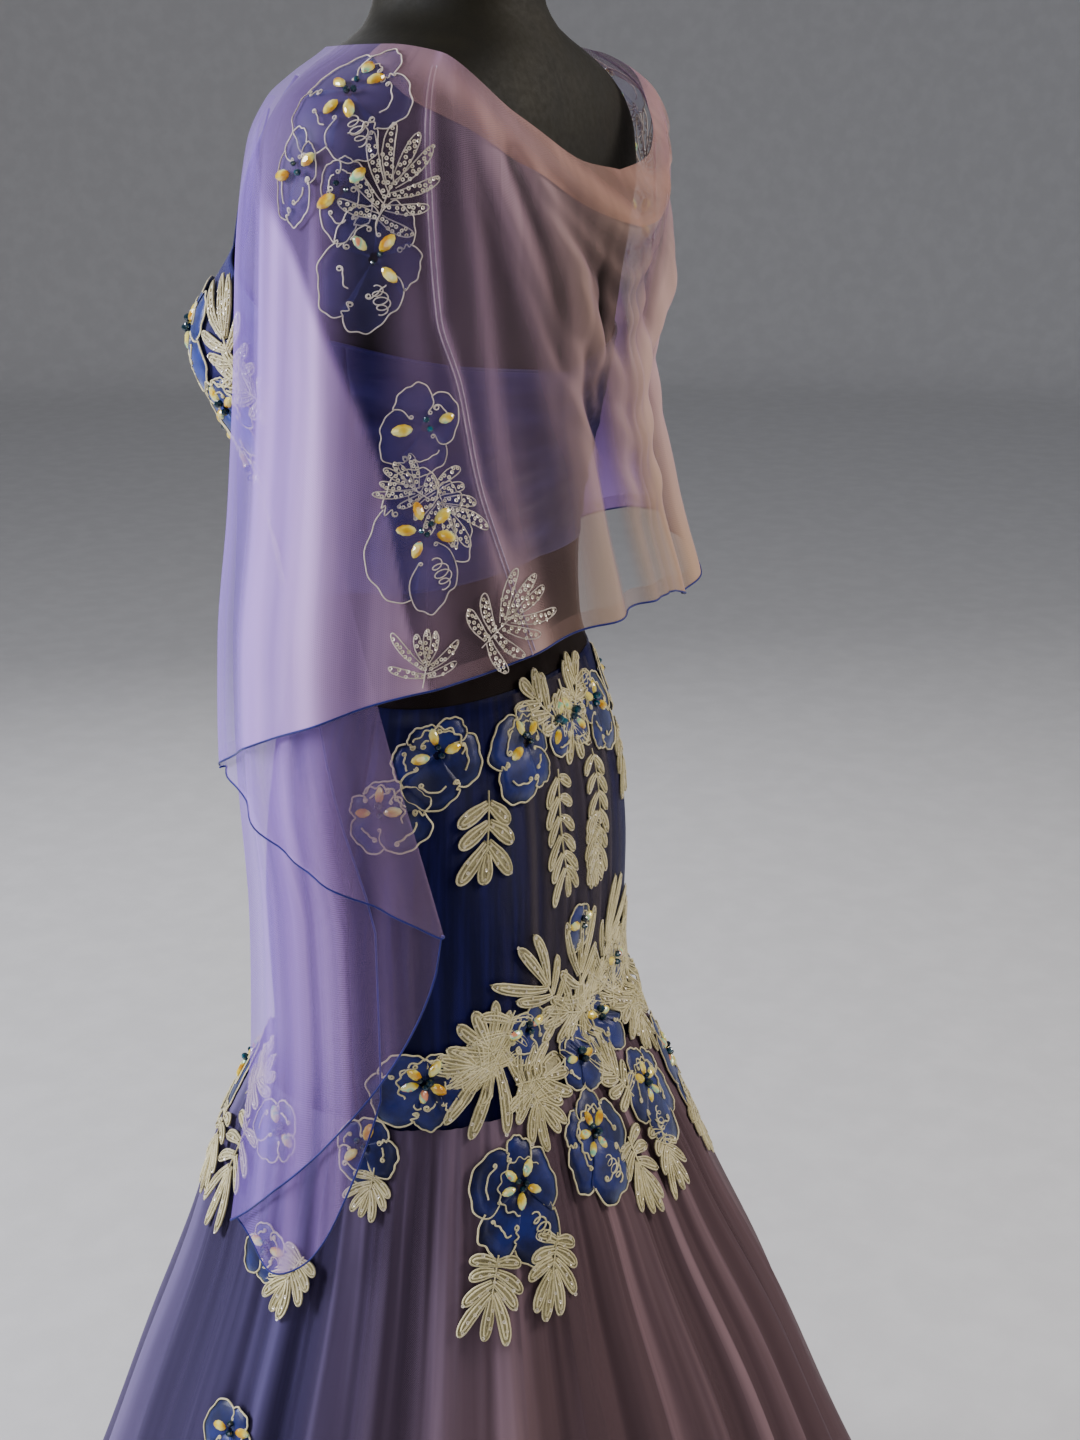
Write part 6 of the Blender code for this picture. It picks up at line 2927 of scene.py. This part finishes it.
    def _cascade(self, side: Side) -> Cloth:
        """The cloth that falls behind the front edge in layers, drawn together on the shoulder.

        Args:
            side: The wearer's side.

        Returns:
            The cascade's cloth.
        """
        layers = CASCADE_LEFT if side is Side.LEFT else CASCADE_RIGHT
        top, low, step, hem, inside = self._stops(layers).T[:, None, :]
        share = np.linspace(0.0, 1.0, self.cascade_rows)[:, None]
        z = hem + (CASCADE_POINT - hem) * share
        fall = np.clip((CASCADE_TOP - z) / (CASCADE_TOP - CASCADE_LOW), 0.0, 1.0) ** self.cascade_bow
        angle = top + (low - top) * fall
        drawn = np.clip((z - CASCADE_TOP) / (CASCADE_POINT - CASCADE_TOP), 0.0, 1.0)
        angle = CAPE_FRONT + (angle - CAPE_FRONT) * (1 - drawn) ** 0.85
        between = read(LAYER_GAPS, "step", z)
        waves = np.sin(angle * 0.62 + step * 1.9) + 0.7 * np.sin(angle * 1.07 + step * 3.1 + 0.8)
        depth = read(LAYER_GAPS, "first", z) + between * (step + self.ripple * 0.6 * waves * inside)
        where = angle if side is Side.LEFT else 180.0 - angle
        points = polar(where, cape_radius(where, z) - depth, z)
        # Where the cascade hangs alone below the panel, and along its waves, the net lies closer and is
        # painted lighter
        below_panel = step_up(1.06, 0.96, z) * (0.4 + 0.6 * step_up(0.74, 0.84, z))
        alone = self.low_gain * below_panel * step_up(14.0, -6.0, angle)
        folds = np.clip(alone - 0.5 * waves * inside, -0.6, 1.4)
        if side is Side.LEFT:
            return Cloth(points, {FOLD_AND_HIGHLIGHT_LAYER: folds})
        return Cloth(points[:, ::-1], {FOLD_AND_HIGHLIGHT_LAYER: folds[:, ::-1]})

    def _build_cascade(self, side: Side) -> None:
        """Makes one cascade and the blue roll round its edge.

        Args:
            side: The wearer's side.
        """
        ending = side.name.lower()
        cloth = self._cascade(side)
        piece = cloth.single(f"cape_cascade_{ending}_net", CAPE_NET)
        path = cloth.points[0]
        edge = cloth.points[::3, -1 if side is Side.LEFT else 0]
        run = np.concatenate([path, edge[1:]]) if side is Side.LEFT else np.concatenate([edge[:0:-1], path])
        hem = self._hem_cord(f"cape_cascade_{ending}_hem", run)
        rests_on, solids = [f"cape_side_{ending}_net"], [f"cape_cascade_{ending}"]
        present_cloth(piece, cloth, Slot.CAPE_TULLE, Held.HUNG, rests_on, solids)


# Studio


@dataclass
class Studio:
    """A pale floor that curves up round the dress, soft lights and the camera."""

    distance: float = 1.5
    height: float = 1.46
    azimuth: float = 28.0
    pitch: float = 17.4
    aside: float = 0.05
    lens: float = 54.1
    sensor: float = 36.0
    floor_rows: int = 48
    floor_columns: int = 97
    floor_reach: float = 10.0
    floor_rise: float = 6.0
    floor_flat: float = 0.62
    lit_height: float = 0.95
    bounces_through_net: int = 28

    def build(self) -> None:
        """Makes the floor, the lights and the camera."""
        self._floor()
        self._lights()
        self._camera()
        bpy.context.scene.cycles.transparent_max_bounces = self.bounces_through_net
        bpy.context.scene.view_settings.look = "AgX - Medium High Contrast"

    def _floor(self) -> None:
        """A round sweep: flat under the dress, curving up all round it."""
        angles = np.linspace(0.0, 360.0, self.floor_columns)[None, :]
        t = np.linspace(0.0, 1.0, self.floor_rows)[:, None]
        reach = self.floor_reach * (1 - (1 - t) ** 1.6) + 0.001
        rise = self.floor_rise * step_up(self.floor_flat, 1.0, t) ** 1.5
        cloth = Cloth(polar(angles, reach, rise)[:, ::-1])
        sweep = add_mesh("studio_floor", cloth.points, cloth.faces(), FLOOR_PAPER.material())

    def _lights(self) -> None:
        """A large soft key on the camera's left, a warm light on its right, two fills and a pale sky."""
        for name, place, energy, size, colour in (
            ("key", (1.7, -2.3, 2.3), 105.0, 1.3, (0.90, 0.92, 1.0)),
            ("fill", (3.0, 1.6, 1.9), 22.0, 2.0, (1.0, 0.98, 0.96)),
            ("back", (-1.6, 2.2, 2.6), 50.0, 1.2, (1.0, 0.93, 0.86)),
            ("front", (-2.2, -1.8, 2.2), 25.0, 1.8, (0.95, 0.95, 1.0)),
        ):
            light = bpy.data.lights.new(name, "AREA")
            light.energy = energy
            light.size = size
            light.color = colour
            lamp = bpy.data.objects.new(name, light)
            lamp.location = place
            aim = Vector((0.0, 0.0, self.lit_height)) - lamp.location
            lamp.rotation_euler = aim.to_track_quat("-Z", "Y").to_euler()
            bpy.context.scene.collection.objects.link(lamp)
        world = bpy.data.worlds.new("studio_sky")
        world.use_nodes = True
        canvas = Canvas(world.node_tree)
        world.node_tree.nodes.clear()
        sky = canvas.node("ShaderNodeBackground", None, {"Color": (0.90, 0.92, 1.0, 1.0), "Strength": 0.30})
        canvas.node("ShaderNodeOutputWorld", None, {"Surface": sky.outputs[0]})
        bpy.context.scene.world = world

    def _camera(self) -> None:
        """The camera at the photograph's angle."""
        turn, pitch = math.radians(self.azimuth), math.radians(self.pitch)
        back = Vector((math.cos(turn), math.sin(turn), 0.0))
        right = Vector((-math.sin(turn), math.cos(turn), 0.0))
        camera_data = bpy.data.cameras.new("camera")
        camera_data.lens = self.lens
        camera_data.sensor_fit = "VERTICAL"
        camera_data.sensor_height = self.sensor
        camera = bpy.data.objects.new("camera", camera_data)
        camera.location = back * self.distance + right * self.aside + Vector((0.0, 0.0, self.height))
        ahead = -back * math.cos(pitch) - Vector((0.0, 0.0, math.sin(pitch)))
        camera.rotation_euler = ahead.to_track_quat("-Z", "Y").to_euler()
        bpy.context.scene.collection.objects.link(camera)
        bpy.context.scene.camera = camera


def main() -> None:
    """Builds the dress, its form and the studio."""
    logging.basicConfig(level=logging.INFO, format="%(name)s: %(message)s")
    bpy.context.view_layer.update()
    for part in (Studio(), DressForm(), Bodice(), Waist(), Skirt(), Cape(), Appliques()):
        part.build()


if __name__ == "__main__":
    main()
